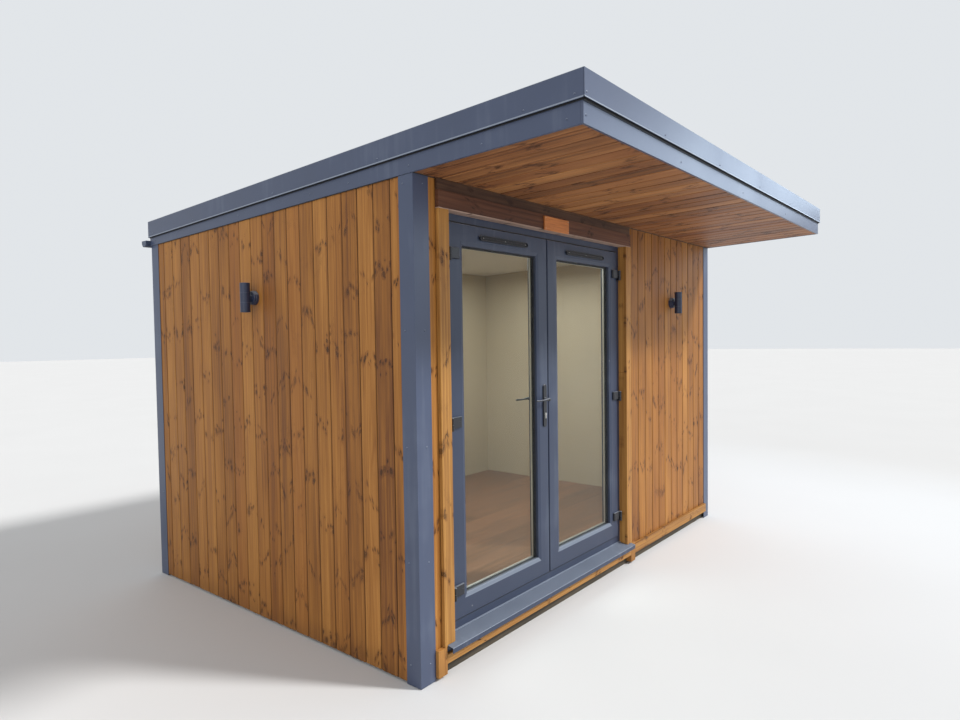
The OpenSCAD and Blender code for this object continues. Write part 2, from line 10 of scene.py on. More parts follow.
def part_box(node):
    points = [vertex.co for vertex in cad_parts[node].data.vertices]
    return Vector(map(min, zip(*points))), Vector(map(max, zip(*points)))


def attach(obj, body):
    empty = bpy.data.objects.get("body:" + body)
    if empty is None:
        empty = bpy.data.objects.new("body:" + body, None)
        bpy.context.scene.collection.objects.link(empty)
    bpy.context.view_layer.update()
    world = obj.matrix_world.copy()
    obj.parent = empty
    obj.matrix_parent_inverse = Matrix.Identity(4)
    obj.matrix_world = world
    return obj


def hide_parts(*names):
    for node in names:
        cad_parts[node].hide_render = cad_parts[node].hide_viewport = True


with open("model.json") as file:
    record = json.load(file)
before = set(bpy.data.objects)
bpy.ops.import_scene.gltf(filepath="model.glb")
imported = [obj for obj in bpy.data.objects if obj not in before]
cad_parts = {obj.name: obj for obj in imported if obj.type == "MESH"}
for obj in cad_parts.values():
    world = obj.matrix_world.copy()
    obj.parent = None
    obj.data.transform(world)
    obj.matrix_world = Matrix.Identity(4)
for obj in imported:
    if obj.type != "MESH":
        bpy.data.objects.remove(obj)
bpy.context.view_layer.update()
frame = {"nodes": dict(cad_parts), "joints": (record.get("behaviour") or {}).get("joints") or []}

bl_info = {
    "name": "Garden Office Pod",
    "version": (1, 0, 0),
    "blender": (4, 5, 0),
    "location": "3D View > Sidebar > Garden Office",
    "description": "Dresses the garden office pod with boards, trims, glazed doors and finishes",
    "category": "Object",
}

X, Y, Z = Vector((1, 0, 0)), Vector((0, 1, 0)), Vector((0, 0, 1))
MM = 0.001

# Places, in millimetres from the foot of the front left corner trim

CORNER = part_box("corner_trims")[0].copy()
CORNER.z = 0


def at(x, y, z):
    """The point of the frame that lies x, y and z millimetres from the front left corner."""
    return CORNER + Vector((x, y, z)) * MM


def span(node):
    """The low and high corners of a CAD node, in millimetres from the front left corner."""
    low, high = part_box(node)
    return (low - CORNER) / MM, (high - CORNER) / MM


WALL_HIGH = span("corner_trims")[1]
FRAME_LOW, FRAME_HIGH = span("door_frame")
SILL_LOW, SILL_HIGH = span("door_sill")
FASCIA_LOW, FASCIA_HIGH = span("front_fascia")
TRIM_LOW, TRIM_HIGH = span("front_roof_trim")
LEAVES = {
    side + "_leaf": {"nodes": side, "box": span(side + "_door"), "glass": span(side + "_glass"), "hand": hand}
    for side, hand in (("left", 1), ("right", -1))
}
PIVOTS = {joint["child"]: (Vector(joint["pos_m"]) - CORNER) / MM for joint in frame["joints"]}

# The drip at the foot of the upper trims leans out by DRIP_OUT over a height of DRIP_RISE
DRIP_OUT, DRIP_RISE = 4, 7
TRIM_FACE = TRIM_LOW.y + DRIP_OUT
TRIM_LEFT, TRIM_RIGHT = TRIM_LOW.x + DRIP_OUT, TRIM_HIGH.x - DRIP_OUT

# How far the roof and the underside of its edge fall towards the back for each unit of depth
ROOF_FALL = 0.045
UNDER_FALL = 0.035
ROOF_WAY, UNDER_WAY = (Vector((0, 1, -fall)) for fall in (ROOF_FALL, UNDER_FALL))

# Shadow gap that uprights leave at their ends, and the top of the foot blocks beside the sill
SHADOW_GAP = 0.3
FOOT_TOP = 142


def roof_top(y):
    """Height of the upper roof trims at a distance y behind the front wall."""
    return TRIM_HIGH.z - ROOF_FALL * (y - TRIM_FACE)


def under_edge(y):
    """Height of the lower edge of the fascia boards at a distance y behind the front wall."""
    return FASCIA_LOW.z - UNDER_FALL * (y - FASCIA_LOW.y)


def sill_slope(y):
    """Height of the sloping top of the sill at a distance y behind the front wall."""
    nose_y, nose_z = SILL_LOW.y + 3, SILL_LOW.z + 38
    back_z = SILL_HIGH.z - 6
    return nose_z + (back_z - nose_z) * (y - nose_y) / (FRAME_LOW.y - nose_y)

# Sizes and colours that a user would change


def length(name, description, default, low, high):
    """A length property in metres, given in millimetres."""
    return bpy.props.FloatProperty(
        name=name, description=description, default=default * MM,
        min=low * MM, max=high * MM, subtype="DISTANCE", unit="LENGTH", precision=4)


def colour(name, description, default):
    """A colour property."""
    return bpy.props.FloatVectorProperty(
        name=name, description=description, default=default, min=0, max=1, size=3, subtype="COLOR")


class PodSizes(bpy.types.PropertyGroup):
    """Sizes of the boards, trims and fixings."""
    board_cover: length("Board cover", "Width that one cladding board covers", 112, 90, 140)
    board_chamfer: length("Board chamfer", "Chamfer on both long edges of a board", 5, 2, 8)
    board_gap: length("Board gap", "Open gap at the bottom of the V between two boards", 2.2, 0.5, 4)
    board_warp: length("Board unevenness", "Most that a board stands behind its neighbour", 0.7, 0, 2)
    screw_head: length("Screw head", "Diameter of the trim screws' heads", 9, 5, 14)
    plank_width: length("Floor plank", "Width of one floor plank", 190, 120, 240)


# What each timber is, and the colours of its pale streaks, its main wood and its dark streaks
SHADES = ("pale", "middle", "dark")
TIMBERS = {
    "cladding": (
        "the oiled cladding", (0.470, 0.212, 0.050), (0.312, 0.126, 0.025), (0.145, 0.050, 0.013)),
    # The surround is painted paler and more golden than the same wood on the walls: painted sunlight
    "surround": (
        "the battens and the bottom rail", (0.56, 0.295, 0.080), (0.39, 0.185, 0.046), (0.17, 0.068, 0.018)),
    "soffit": (
        "the canopy boards", (0.50, 0.230, 0.082), (0.285, 0.117, 0.042), (0.078, 0.028, 0.015)),
    # The head board and the batten are painted darker than the same wood elsewhere: painted shade under the
    # canopy
    "head": (
        "the board over the doors", (0.235, 0.112, 0.062), (0.118, 0.050, 0.028), (0.050, 0.022, 0.013)),
    "batten": (
        "the batten under the canopy", (0.115, 0.062, 0.036), (0.058, 0.028, 0.017), (0.026, 0.013, 0.009)),
    # The sawn edge is painted paler: painted light from below on the underside of the board over the doors
    "sawn": (
        "the sawn edge over the doors", (0.55, 0.40, 0.32), (0.40, 0.27, 0.21), (0.20, 0.125, 0.095)),
}


class PodColours(bpy.types.PropertyGroup):
    """Colours of the finishes."""
    __annotations__.update({
        f"{timber}_{shade}": colour(f"{timber.title()}, {shade}", f"The {shade} colour of {what}", rgb)
        for timber, (what, *colours) in TIMBERS.items() for shade, rgb in zip(SHADES, colours)})
    knot: colour("Knots", "Colour of the knots", (0.034, 0.015, 0.008))
    # The blue in the coated metal, door foil and wall light tints is partly painted reflection of a blue sky
    # over anthracite grey
    coated_metal: colour("Coated metal", "Trims, fascias and gutter", (0.055, 0.073, 0.128))
    door_foil: colour("Door foil", "Door frame, leaves and sill", (0.032, 0.044, 0.080))
    fittings: colour("Fittings", "Hinges, handles and vents", (0.010, 0.011, 0.015))
    lights: colour("Wall lights", "Bodies of the wall lights", (0.017, 0.024, 0.052))
    lining: colour("Wall lining", "Inside walls", (0.52, 0.44, 0.32))
    floor: colour("Floor planks", "Wood-effect floor", (0.215, 0.105, 0.058))


# Shader graphs


def operator_pair(operation):
    """The methods for one of Python's operators and for its reflected form."""
    def straight(self, other):
        return self.combine(operation, self, other)

    def reflected(self, other):
        return self.combine(operation, other, self)
    return straight, reflected


class Link:
    """A shader socket that takes part in Python expressions."""

    def __init__(self, graph, socket):
        self.graph, self.socket = graph, socket

    def combine(self, operation, first, second):
        """Adds the maths node that the two operands need."""
        vector = any(isinstance(v, Link) and v.socket.type != "VALUE" for v in (first, second))
        kind = "ShaderNodeVectorMath" if vector else "ShaderNodeMath"
        return self.graph.node(kind, {"operation": operation}, {0: first, 1: second})

    __add__, __radd__ = operator_pair("ADD")
    __sub__, __rsub__ = operator_pair("SUBTRACT")
    __mul__, __rmul__ = operator_pair("MULTIPLY")
    __truediv__, __rtruediv__ = operator_pair("DIVIDE")
    __pow__, __rpow__ = operator_pair("POWER")


class Graph:
    """The node graph of a material or a world, with short calls for the nodes it uses."""

    def __init__(self, name, world=False):
        self.owner = (bpy.data.worlds if world else bpy.data.materials).new(name)
        self.owner.use_nodes = True
        self.tree = self.owner.node_tree
        self.tree.nodes.clear()
        self.end = "ShaderNodeOutputWorld" if world else "ShaderNodeOutputMaterial"
        self.count = 0

    def node(self, kind, settings=None, inputs=None, output=0):
        """Adds any node: its settings first, then the values or links of its sockets."""
        node = self.tree.nodes.new(kind)
        node.location = (self.count % 12 * 180 - 2000, -(self.count // 12) * 220)
        self.count += 1
        for key, value in (settings or {}).items():
            if key == "stops":
                elements = node.color_ramp.elements
                while len(elements) < len(value):
                    elements.new(0.5)
                for element, (position, rgb) in zip(elements, value):
                    element.position = position
                    element.color = (*rgb, 1)
            else:
                setattr(node, key, value)
        for key, value in (inputs or {}).items():
            socket = node.inputs[key]
            if isinstance(value, Link):
                self.tree.links.new(value.socket, socket)
            elif socket.type == "VECTOR" and not hasattr(value, "__len__"):
                socket.default_value = (value,) * 3
            elif socket.type == "RGBA" and len(value) == 3:
                socket.default_value = (*value, 1)
            else:
                socket.default_value = value
        return Link(self, node.outputs[output]) if node.outputs else None

    def parts(self, link, names=None):
        """Several outputs of the node that a link comes from."""
        outputs = link.socket.node.outputs
        return [Link(self, outputs[name]) for name in names or range(len(outputs))]

    def attribute(self, name):
        """A named attribute of the mesh."""
        return self.node("ShaderNodeAttribute", {"attribute_name": name}, {}, "Vector")

    def place(self):
        """Object coordinates, which are metres in the frame."""
        return self.node("ShaderNodeTexCoord", {}, {}, "Object")

    def upward(self, normal="Normal"):
        """How far the surface faces up, from -1 to 1."""
        return self.split(self.node("ShaderNodeNewGeometry", {}, {}, normal))[2]

    def split(self, vector):
        """The three parts of a vector."""
        return self.parts(self.node("ShaderNodeSeparateXYZ", {}, {0: vector}))

    def join(self, x, y, z):
        """A vector from three values."""
        return self.node("ShaderNodeCombineXYZ", {}, {0: x, 1: y, 2: z})

    def noise(self, vector, scale, detail=2.0, roughness=0.5):
        """Noise between about 0.3 and 0.7, centred on 0.5."""
        return self.node("ShaderNodeTexNoise", {}, {
            "Vector": vector, "Scale": scale, "Detail": detail, "Roughness": roughness})

    def fibres(self, x, y, z, origin=None, detail=2.0, roughness=0.5):
        """Noise that three scaled coordinates stretch along one of them."""
        vector = self.join(x, y, z)
        return self.noise(vector if origin is None else vector + origin, 1.0, detail, roughness)

    def cells(self, vector, scale, randomness=1.0, flat=False):
        """Distance, random colour and position of scattered cells."""
        first = self.node("ShaderNodeTexVoronoi", {"voronoi_dimensions": "2D" if flat else "3D"}, {
            "Vector": vector, "Scale": scale, "Randomness": randomness})
        return self.parts(first, ("Distance", "Color", "Position"))

    def step(self, value, low, high):
        """0 below low, 1 above high and smooth between them."""
        return self.node("ShaderNodeMapRange", {"interpolation_type": "SMOOTHSTEP"}, {
            "Value": value, "From Min": low, "From Max": high})

    def function(self, operation, *values):
        """A Math node for what Python's operators don't cover."""
        return self.node("ShaderNodeMath", {"operation": operation}, dict(enumerate(values)))

    def clamp(self, value):
        """A value kept between 0 and 1."""
        return self.node("ShaderNodeClamp", {}, {0: value})

    def mix(self, factor, first, second):
        """A blend of two colours."""
        return self.node("ShaderNodeMix", {"data_type": "RGBA"}, {0: factor, 6: first, 7: second}, 2)

    def vary(self, factor, rgb, low, high):
        """One colour between two brightnesses."""
        return self.mix(factor, [v * low for v in rgb], [min(1, v * high) for v in rgb])

    def ramp(self, factor, *stops):
        """A colour ramp with (position, colour) stops."""
        return self.node("ShaderNodeValToRGB", {"stops": stops}, {0: factor})

    def bump(self, height, depth, strength, **normal):
        """A bump of the given depth in metres."""
        return self.node("ShaderNodeBump", {}, {
            "Height": height, "Distance": depth, "Strength": strength, **normal})

    def finish(self, **inputs):
        """Ends the graph in a Principled shader and returns the material."""
        sockets = {key.replace("_", " ").title().replace("Ior", "IOR"): v for key, v in inputs.items()}
        return self.close(self.node("ShaderNodeBsdfPrincipled", {}, sockets))

    def close(self, shader):
        """Links a shader to the output, and returns the material or world."""
        self.node(self.end, {}, {"Surface": shader})
        return self.owner


# Finishes

finishes = {}


def finish(maker):
    """Makes a finish once and gives the same material to every piece that uses it."""
    def get(kind):
        key = (maker.__name__, kind)
        if key not in finishes:
            finishes[key] = maker(kind)
        return finishes[key]
    return get


def colours():
    """The colours chosen in the sidebar."""
    return bpy.context.scene.pod_colours


def sizes():
    """The sizes chosen in the sidebar, in metres."""
    return bpy.context.scene.pod_sizes


@finish
def timber(kind):
    """Oiled softwood with growth rings, fibre streaks and knots along each board's own length."""
    c = colours()
    pale, middle, dark = (getattr(c, f"{kind}_{shade}") for shade in SHADES)
    g = Graph(kind + "_timber")
    grain = g.attribute("grain")
    across, depth, along = g.split(grain)
    tone, seed, hue = g.split(g.attribute("lot"))
    origin = g.join(seed * 17.0, hue * 23.0, seed * 41.0 + hue * 13.0)

    # Knots grow in whorls: a few side by side at one height, leaning away from the whorl's middle
    pitch = seed * 0.22 + 0.30
    run = along / pitch + hue * 7.0 + 50.0
    number = g.function("FLOOR", run)
    lots = g.node("ShaderNodeTexWhiteNoise", {"noise_dimensions": "2D"}, {
        "Vector": g.join(number, seed * 90.0, 0.0)}, 1)
    rise, shift, lean = g.split(lots)
    local = (run - number - 0.25 - rise * 0.5) * pitch
    off = across - 0.056 - (shift - 0.5) * 0.06
    bent = local + g.function("ABSOLUTE", off) * (lean - 0.5) * 3.6
    inside = g.step(0.5 - g.function("ABSOLUTE", run - number - 0.5), 0.0, 0.06)
    knots, halos = 0.0, 0.0
    for scale, reach, chance, least, most, squash in (
            (30.0, 0.024, 0.70, 0.17, 0.35, 0.68),
            (52.0, 0.040, 0.34, 0.16, 0.32, 0.55),
            (13.0, 0.070, 0.26, 0.05, 0.09, 0.85)):
        chance += 0.16 if kind == "soffit" else 0.0
        flat = g.join(off + number * 3.7 + seed * 9.0, bent * squash, 0.0)
        distance, tags, spots = g.cells(flat, scale, 0.85, flat=True)
        luck, size, strength = g.split(tags)
        spot = g.function("ABSOLUTE", g.split(spots)[1]) / squash
        present = g.step(chance - luck, 0.0, 0.02) * g.step(reach - spot, 0.0, 0.004)
        present = present * inside * (strength * 0.35 + 0.65)
        radius = size * (most - least) + least
        ragged = distance + (g.noise(grain + origin, 190.0) - 0.5) * 0.22
        core = g.step(radius - ragged, -0.02, 0.06) * present
        halo = g.step(radius * 2.3 + 0.12 - distance, 0.0, 0.45) * present
        knots = g.function("MAXIMUM", knots, core)
        halos = g.function("MAXIMUM", halos, halo)

    # Growth rings bend round the knots and drift along the board
    ring_width = 0.0082
    drift = g.fibres(seed * 9.0, hue * 7.0, along * 0.9 + seed * 21.0) - 0.5
    side = across - (hue - 0.5) * 0.14
    back = depth + 0.03 + tone * 0.05
    ring = g.function("SQRT", side * side + back * back) + drift * 0.045 + halos * 0.006
    ring = ring + (g.fibres(across * 14.0, depth * 14.0, along * 1.1, origin) - 0.5) * 0.012
    rings = g.function("SINE", ring * (2 * math.pi / ring_width)) * 0.5 + 0.5
    late = rings ** 3.0

    # Fine fibres and broad streaks run lengthwise
    fibre = g.fibres(across * 420.0, depth * 300.0, along * 7.0, origin, 2.0, 0.6)
    streak = g.fibres(across * 75.0, depth * 60.0, along * 0.9, origin, 3.0, 0.55)
    patch = g.fibres(across * 9.0, depth * 9.0, along * 1.4, origin)

    shade = (tone - 0.5) * 0.40 + (streak - 0.5) * 1.15 + (patch - 0.5) * 0.8 + (fibre - 0.5) * 0.5
    shade = g.clamp(shade + 0.54 - late * 0.18 - halos * 0.20)
    body = g.ramp(shade, (0.06, dark), (0.48, middle), (0.94, pale))
    redder = (middle[0] * 0.94, middle[1] * 0.80, middle[2] * 0.80)
    body = g.mix(g.clamp((hue - 0.5) * 0.8), body, redder)
    body = g.mix(halos * (1.0 - knots) * 0.30, body, dark)
    body = g.mix(knots * (0.70 + fibre * 0.35), body, c.knot)

    # The V between two boards is darker: painted shade in the groove, with the oil and dirt that settle there
    if kind in ("cladding", "soffit"):
        body = g.mix(g.step(depth, 0.0014, 0.0042) * 0.72, body, [v * 0.35 for v in dark])

    # The lowest part of a wall is darker and rougher
    height = g.split(g.place())[2]
    foot_band = g.step(0.13 - height + (patch - 0.5) * 0.2, 0.0, 0.13) * 0.28
    body = g.mix(foot_band, body, (dark[0] * 0.6, dark[1] * 0.7, dark[2]))

    relief = fibre * 0.5 - late * 0.35 + (streak - 0.5) * 0.6 + knots * 0.5
    return g.finish(
        base_color=body, roughness=0.52 + (streak - 0.5) * 0.35 + knots * 0.06 + foot_band * 0.25,
        specular_ior_level=0.27, normal=g.bump(relief, 0.0009, 0.55))


@finish
def sawn_timber(kind):
    """Rough sawn structural timber."""
    g = Graph(kind + "_sawn")
    place = g.place()
    x, y, z = g.split(place)
    streak = g.fibres(x * 3.0, y * 60.0, z * 60.0, detail=3.0)
    saw = g.node("ShaderNodeTexWave", {"wave_type": "BANDS", "bands_direction": "X"}, {
        "Vector": place, "Scale": 60.0, "Distortion": 2.0}, 1)
    # Near black: the bearers' dark treated timber, darkened further as painted shade under the pod
    return g.finish(
        base_color=g.ramp(streak, (0.3, (0.030, 0.023, 0.015)), (0.7, (0.080, 0.062, 0.040))),
        roughness=0.75 + (streak - 0.5) * 0.2, normal=g.bump(saw * 0.4 + streak, 0.0012, 0.5))


@finish
def insulated_board(kind):
    """Strand board faces of the insulated wall, floor and roof cores."""
    g = Graph(kind + "_board")
    light, _, tilt = g.split(g.cells(g.place(), 42.0)[1])
    tint = g.ramp(light, (0.0, (0.30, 0.19, 0.09)), (0.5, (0.46, 0.31, 0.16)), (1.0, (0.58, 0.43, 0.25)))
    return g.finish(
        base_color=tint, roughness=0.62 + tilt * 0.15, normal=g.bump(tilt, 0.0008, 0.5))


@finish
def coated_metal(kind):
    """Anthracite coated sheet: a satin skin with faint dust, rain marks, small pale specks and a painted
    highlight on edges that face partly up.
    """
    c = colours()
    foiled = kind in ("foil", "sill")
    g = Graph(kind + "_anthracite")
    place = g.place()
    x, y, z = g.split(place)
    cloud = g.noise(place, 2.6, 3.0)
    run = g.fibres(x * 26.0, y * 26.0, z * 1.6)
    peel = g.noise(place, 620.0, 1.0)
    up = g.upward("True Normal")
    marks = g.step(cloud * 0.6 + run * 0.4, 0.53, 0.66) * 0.10
    dust = g.clamp(g.step(up, 0.35, 0.95) * (0.30 + cloud * 0.25) + marks)
    distance, tags, _ = g.cells(place, 9.0)
    chance = g.split(tags)[0]
    speck = g.step(0.045 - distance + (peel - 0.5) * 0.02, 0.0, 0.02) * g.step(chance, 0.80, 0.84)
    tint = g.vary(cloud, c.door_foil if foiled else c.coated_metal, 0.86, 1.16)
    tint = g.mix(dust, tint, (0.27, 0.31, 0.37))

    # Folded and rounded edges that face partly up are painted paler: a painted highlight
    highlight_share = {"foil": 0.30, "sill": 0.60}.get(kind, 0.45)
    painted_highlight = g.step(up, 0.09, 0.22) * g.step(0.80 - up, 0.0, 0.15) * highlight_share
    tint = g.mix(painted_highlight, tint, (0.44, 0.50, 0.58))
    tint = g.mix(speck * (0.3 if foiled else 0.55), tint, (0.55, 0.55, 0.53))
    if foiled:
        fine = g.fibres(x * 900.0, y * 900.0, z * 60.0, detail=1.0)
        return g.finish(
            base_color=tint, roughness=0.40 + (cloud - 0.5) * 0.12 + dust * 0.3,
            specular_ior_level=0.42, normal=g.bump(fine, 0.00012, 0.5))
    edge = g.node("ShaderNodeBevel", {"samples": 4}, {"Radius": 0.0012})
    return g.finish(
        base_color=tint, roughness=0.36 + (cloud - 0.5) * 0.14 + dust * 0.35 + speck * 0.2,
        specular_ior_level=0.55, normal=g.bump(peel + cloud * 6.0, 0.00016, 0.5, Normal=edge))


@finish
def fitting(kind):
    """Black coated hardware with a fine powder texture, painted paler on top as a painted highlight."""
    c = colours()
    g = Graph(kind + "_black")
    place = g.place()
    grit = g.noise(place, 900.0, 1.0)
    cloud = g.noise(place, 14.0)
    tint = g.vary(cloud, c.lights if kind == "light" else c.fittings, 0.8, 1.6)
    # Surfaces that face up are painted paler: a painted highlight
    tint = g.mix(g.step(g.upward(), 0.30, 0.55) * 0.5, tint, (0.34, 0.37, 0.42))
    return g.finish(
        base_color=tint, roughness=0.38 + (cloud - 0.5) * 0.16, normal=g.bump(grit, 0.0001, 0.4))


@finish
def bare_metal(kind):
    """Bare fasteners, key barrels and glazing spacers."""
    tints = {"steel": (0.56, 0.55, 0.53), "spacer": (0.70, 0.70, 0.68)}
    g = Graph(kind + "_metal")
    cloud = g.noise(g.place(), 60.0)
    return g.finish(
        base_color=g.vary(cloud, tints[kind], 0.8, 1.0), metallic=0.9, roughness=0.34 + (cloud - 0.5) * 0.2)


@finish
def rubber_seal(kind):
    """Black rubber of the door seals and the roof sheet, dulled by dust where it lies flat."""
    g = Graph(kind + "_rubber")
    place = g.place()
    cloud = g.noise(place, 2.6, 7.0, 0.6)
    fine = g.noise(place, 140.0)
    dust = g.step(g.upward(), 0.6, 0.98) * g.step(cloud, 0.38, 0.66) * (0.28 if kind == "roof" else 0.1)
    return g.finish(
        base_color=g.mix(dust, (0.017, 0.017, 0.019), (0.16, 0.155, 0.145)),
        roughness=0.55 + dust * 0.3, normal=g.bump(fine + cloud * 3.0, 0.0012, 0.35))


@finish
def clear_glass(kind):
    """A clear pane: reflections by angle over a faintly tinted, slightly dusty view through."""
    g = Graph(kind + "_glass")
    haze = g.noise(g.place(), 3.0, 4.0)
    gloss = g.node("ShaderNodeBsdfPrincipled", {}, {
        "Base Color": (0.16, 0.18, 0.18), "Roughness": 0.03 + g.step(haze, 0.45, 0.75) * 0.05,
        "Specular IOR Level": 0.9, "Alpha": 1.0})
    clear = g.node("ShaderNodeBsdfTransparent", {}, {"Color": (0.965, 0.985, 0.975)})
    facing = g.node("ShaderNodeFresnel", {}, {"IOR": 1.5})
    inside = g.node("ShaderNodeNewGeometry", {}, {}, "Backfacing")
    share = g.clamp((facing * 1.1 + g.step(haze, 0.5, 0.8) * 0.02) * (1.0 - inside))
    return g.close(g.node("ShaderNodeMixShader", {}, {0: share, 1: clear, 2: gloss}))


@finish
def lining(kind):
    """Rolled emulsion on the inside walls and ceiling."""
    g = Graph(kind + "_lining")
    place = g.place()
    cloud = g.noise(place, 1.3, 3.0)
    roller = g.noise(place, 240.0)
    tint = colours().lining if kind == "wall" else (0.72, 0.70, 0.66)
    return g.finish(
        base_color=g.vary(cloud, tint, 0.92, 1.06),
        roughness=0.82 + (cloud - 0.5) * 0.1, normal=g.bump(roller, 0.0003, 0.4))


@finish
def floor_plank(kind):
    """Brown wood-effect floor planks with fine joints and a satin wear layer."""
    main = colours().floor
    plank_width, plank_length, joint_width = sizes().plank_width, 1.29, 0.0018
    g = Graph(kind + "_planks")
    x, y, _ = g.split(g.place())
    row = g.function("FLOOR", y / plank_width)
    shift = g.node("ShaderNodeTexWhiteNoise", {"noise_dimensions": "1D"}, {"W": row})
    plank = g.function("FLOOR", (x + shift * plank_length) / plank_length)
    lot = g.node("ShaderNodeTexWhiteNoise", {"noise_dimensions": "2D"}, {"Vector": g.join(row, plank, 0.0)})
    streak = g.fibres(x * 2.0, y * 48.0, lot * 40.0, detail=3.0)
    joint = g.step(g.function("PINGPONG", y, plank_width / 2), 0.0, joint_width)
    end = g.step(g.function("PINGPONG", x, plank_length / 2), 0.0, joint_width)
    tint = g.ramp(
        g.clamp(0.5 + (streak - 0.5) * 1.3 + (lot - 0.5) * 0.4),
        *((stop, [v * bright for v in main]) for stop, bright in ((0.1, 0.55), (0.5, 1), (0.9, 1.5))))
    return g.finish(
        base_color=g.mix(joint * end, (0.02, 0.012, 0.008), tint),
        roughness=0.33 + (streak - 0.5) * 0.2, normal=g.bump(joint * end + streak * 0.2, 0.0008, 0.5))


@finish
def plaque_wood(kind):
    """Orange oiled hardwood of the bare plaque."""
    g = Graph(kind + "_plaque")
    x, y, z = g.split(g.place())
    streak = g.fibres(x * 9.0, y * 90.0, z * 260.0, detail=3.0)
    return g.finish(
        base_color=g.ramp(streak, (0.25, (0.42, 0.13, 0.035)), (0.75, (0.68, 0.26, 0.075))),
        roughness=0.42 + (streak - 0.5) * 0.2, normal=g.bump(streak, 0.0004, 0.4))


@finish
def lamp_lens(kind):
    """Frosted lens in the end of a wall light."""
    g = Graph(kind + "_lens")
    ribs = g.noise(g.place(), 300.0, 1.0)
    return g.finish(
        base_color=g.mix(ribs, (0.62, 0.63, 0.62), (0.74, 0.75, 0.74)), roughness=0.22 + ribs * 0.1,
        normal=g.bump(ribs, 0.0003, 0.4))


# Mesh building


def add_object(name, data):
    """Makes an object of a mesh, a light or a camera, and links it to the scene."""
    obj = bpy.data.objects.new(name, data)
    bpy.context.scene.collection.objects.link(obj)
    return obj


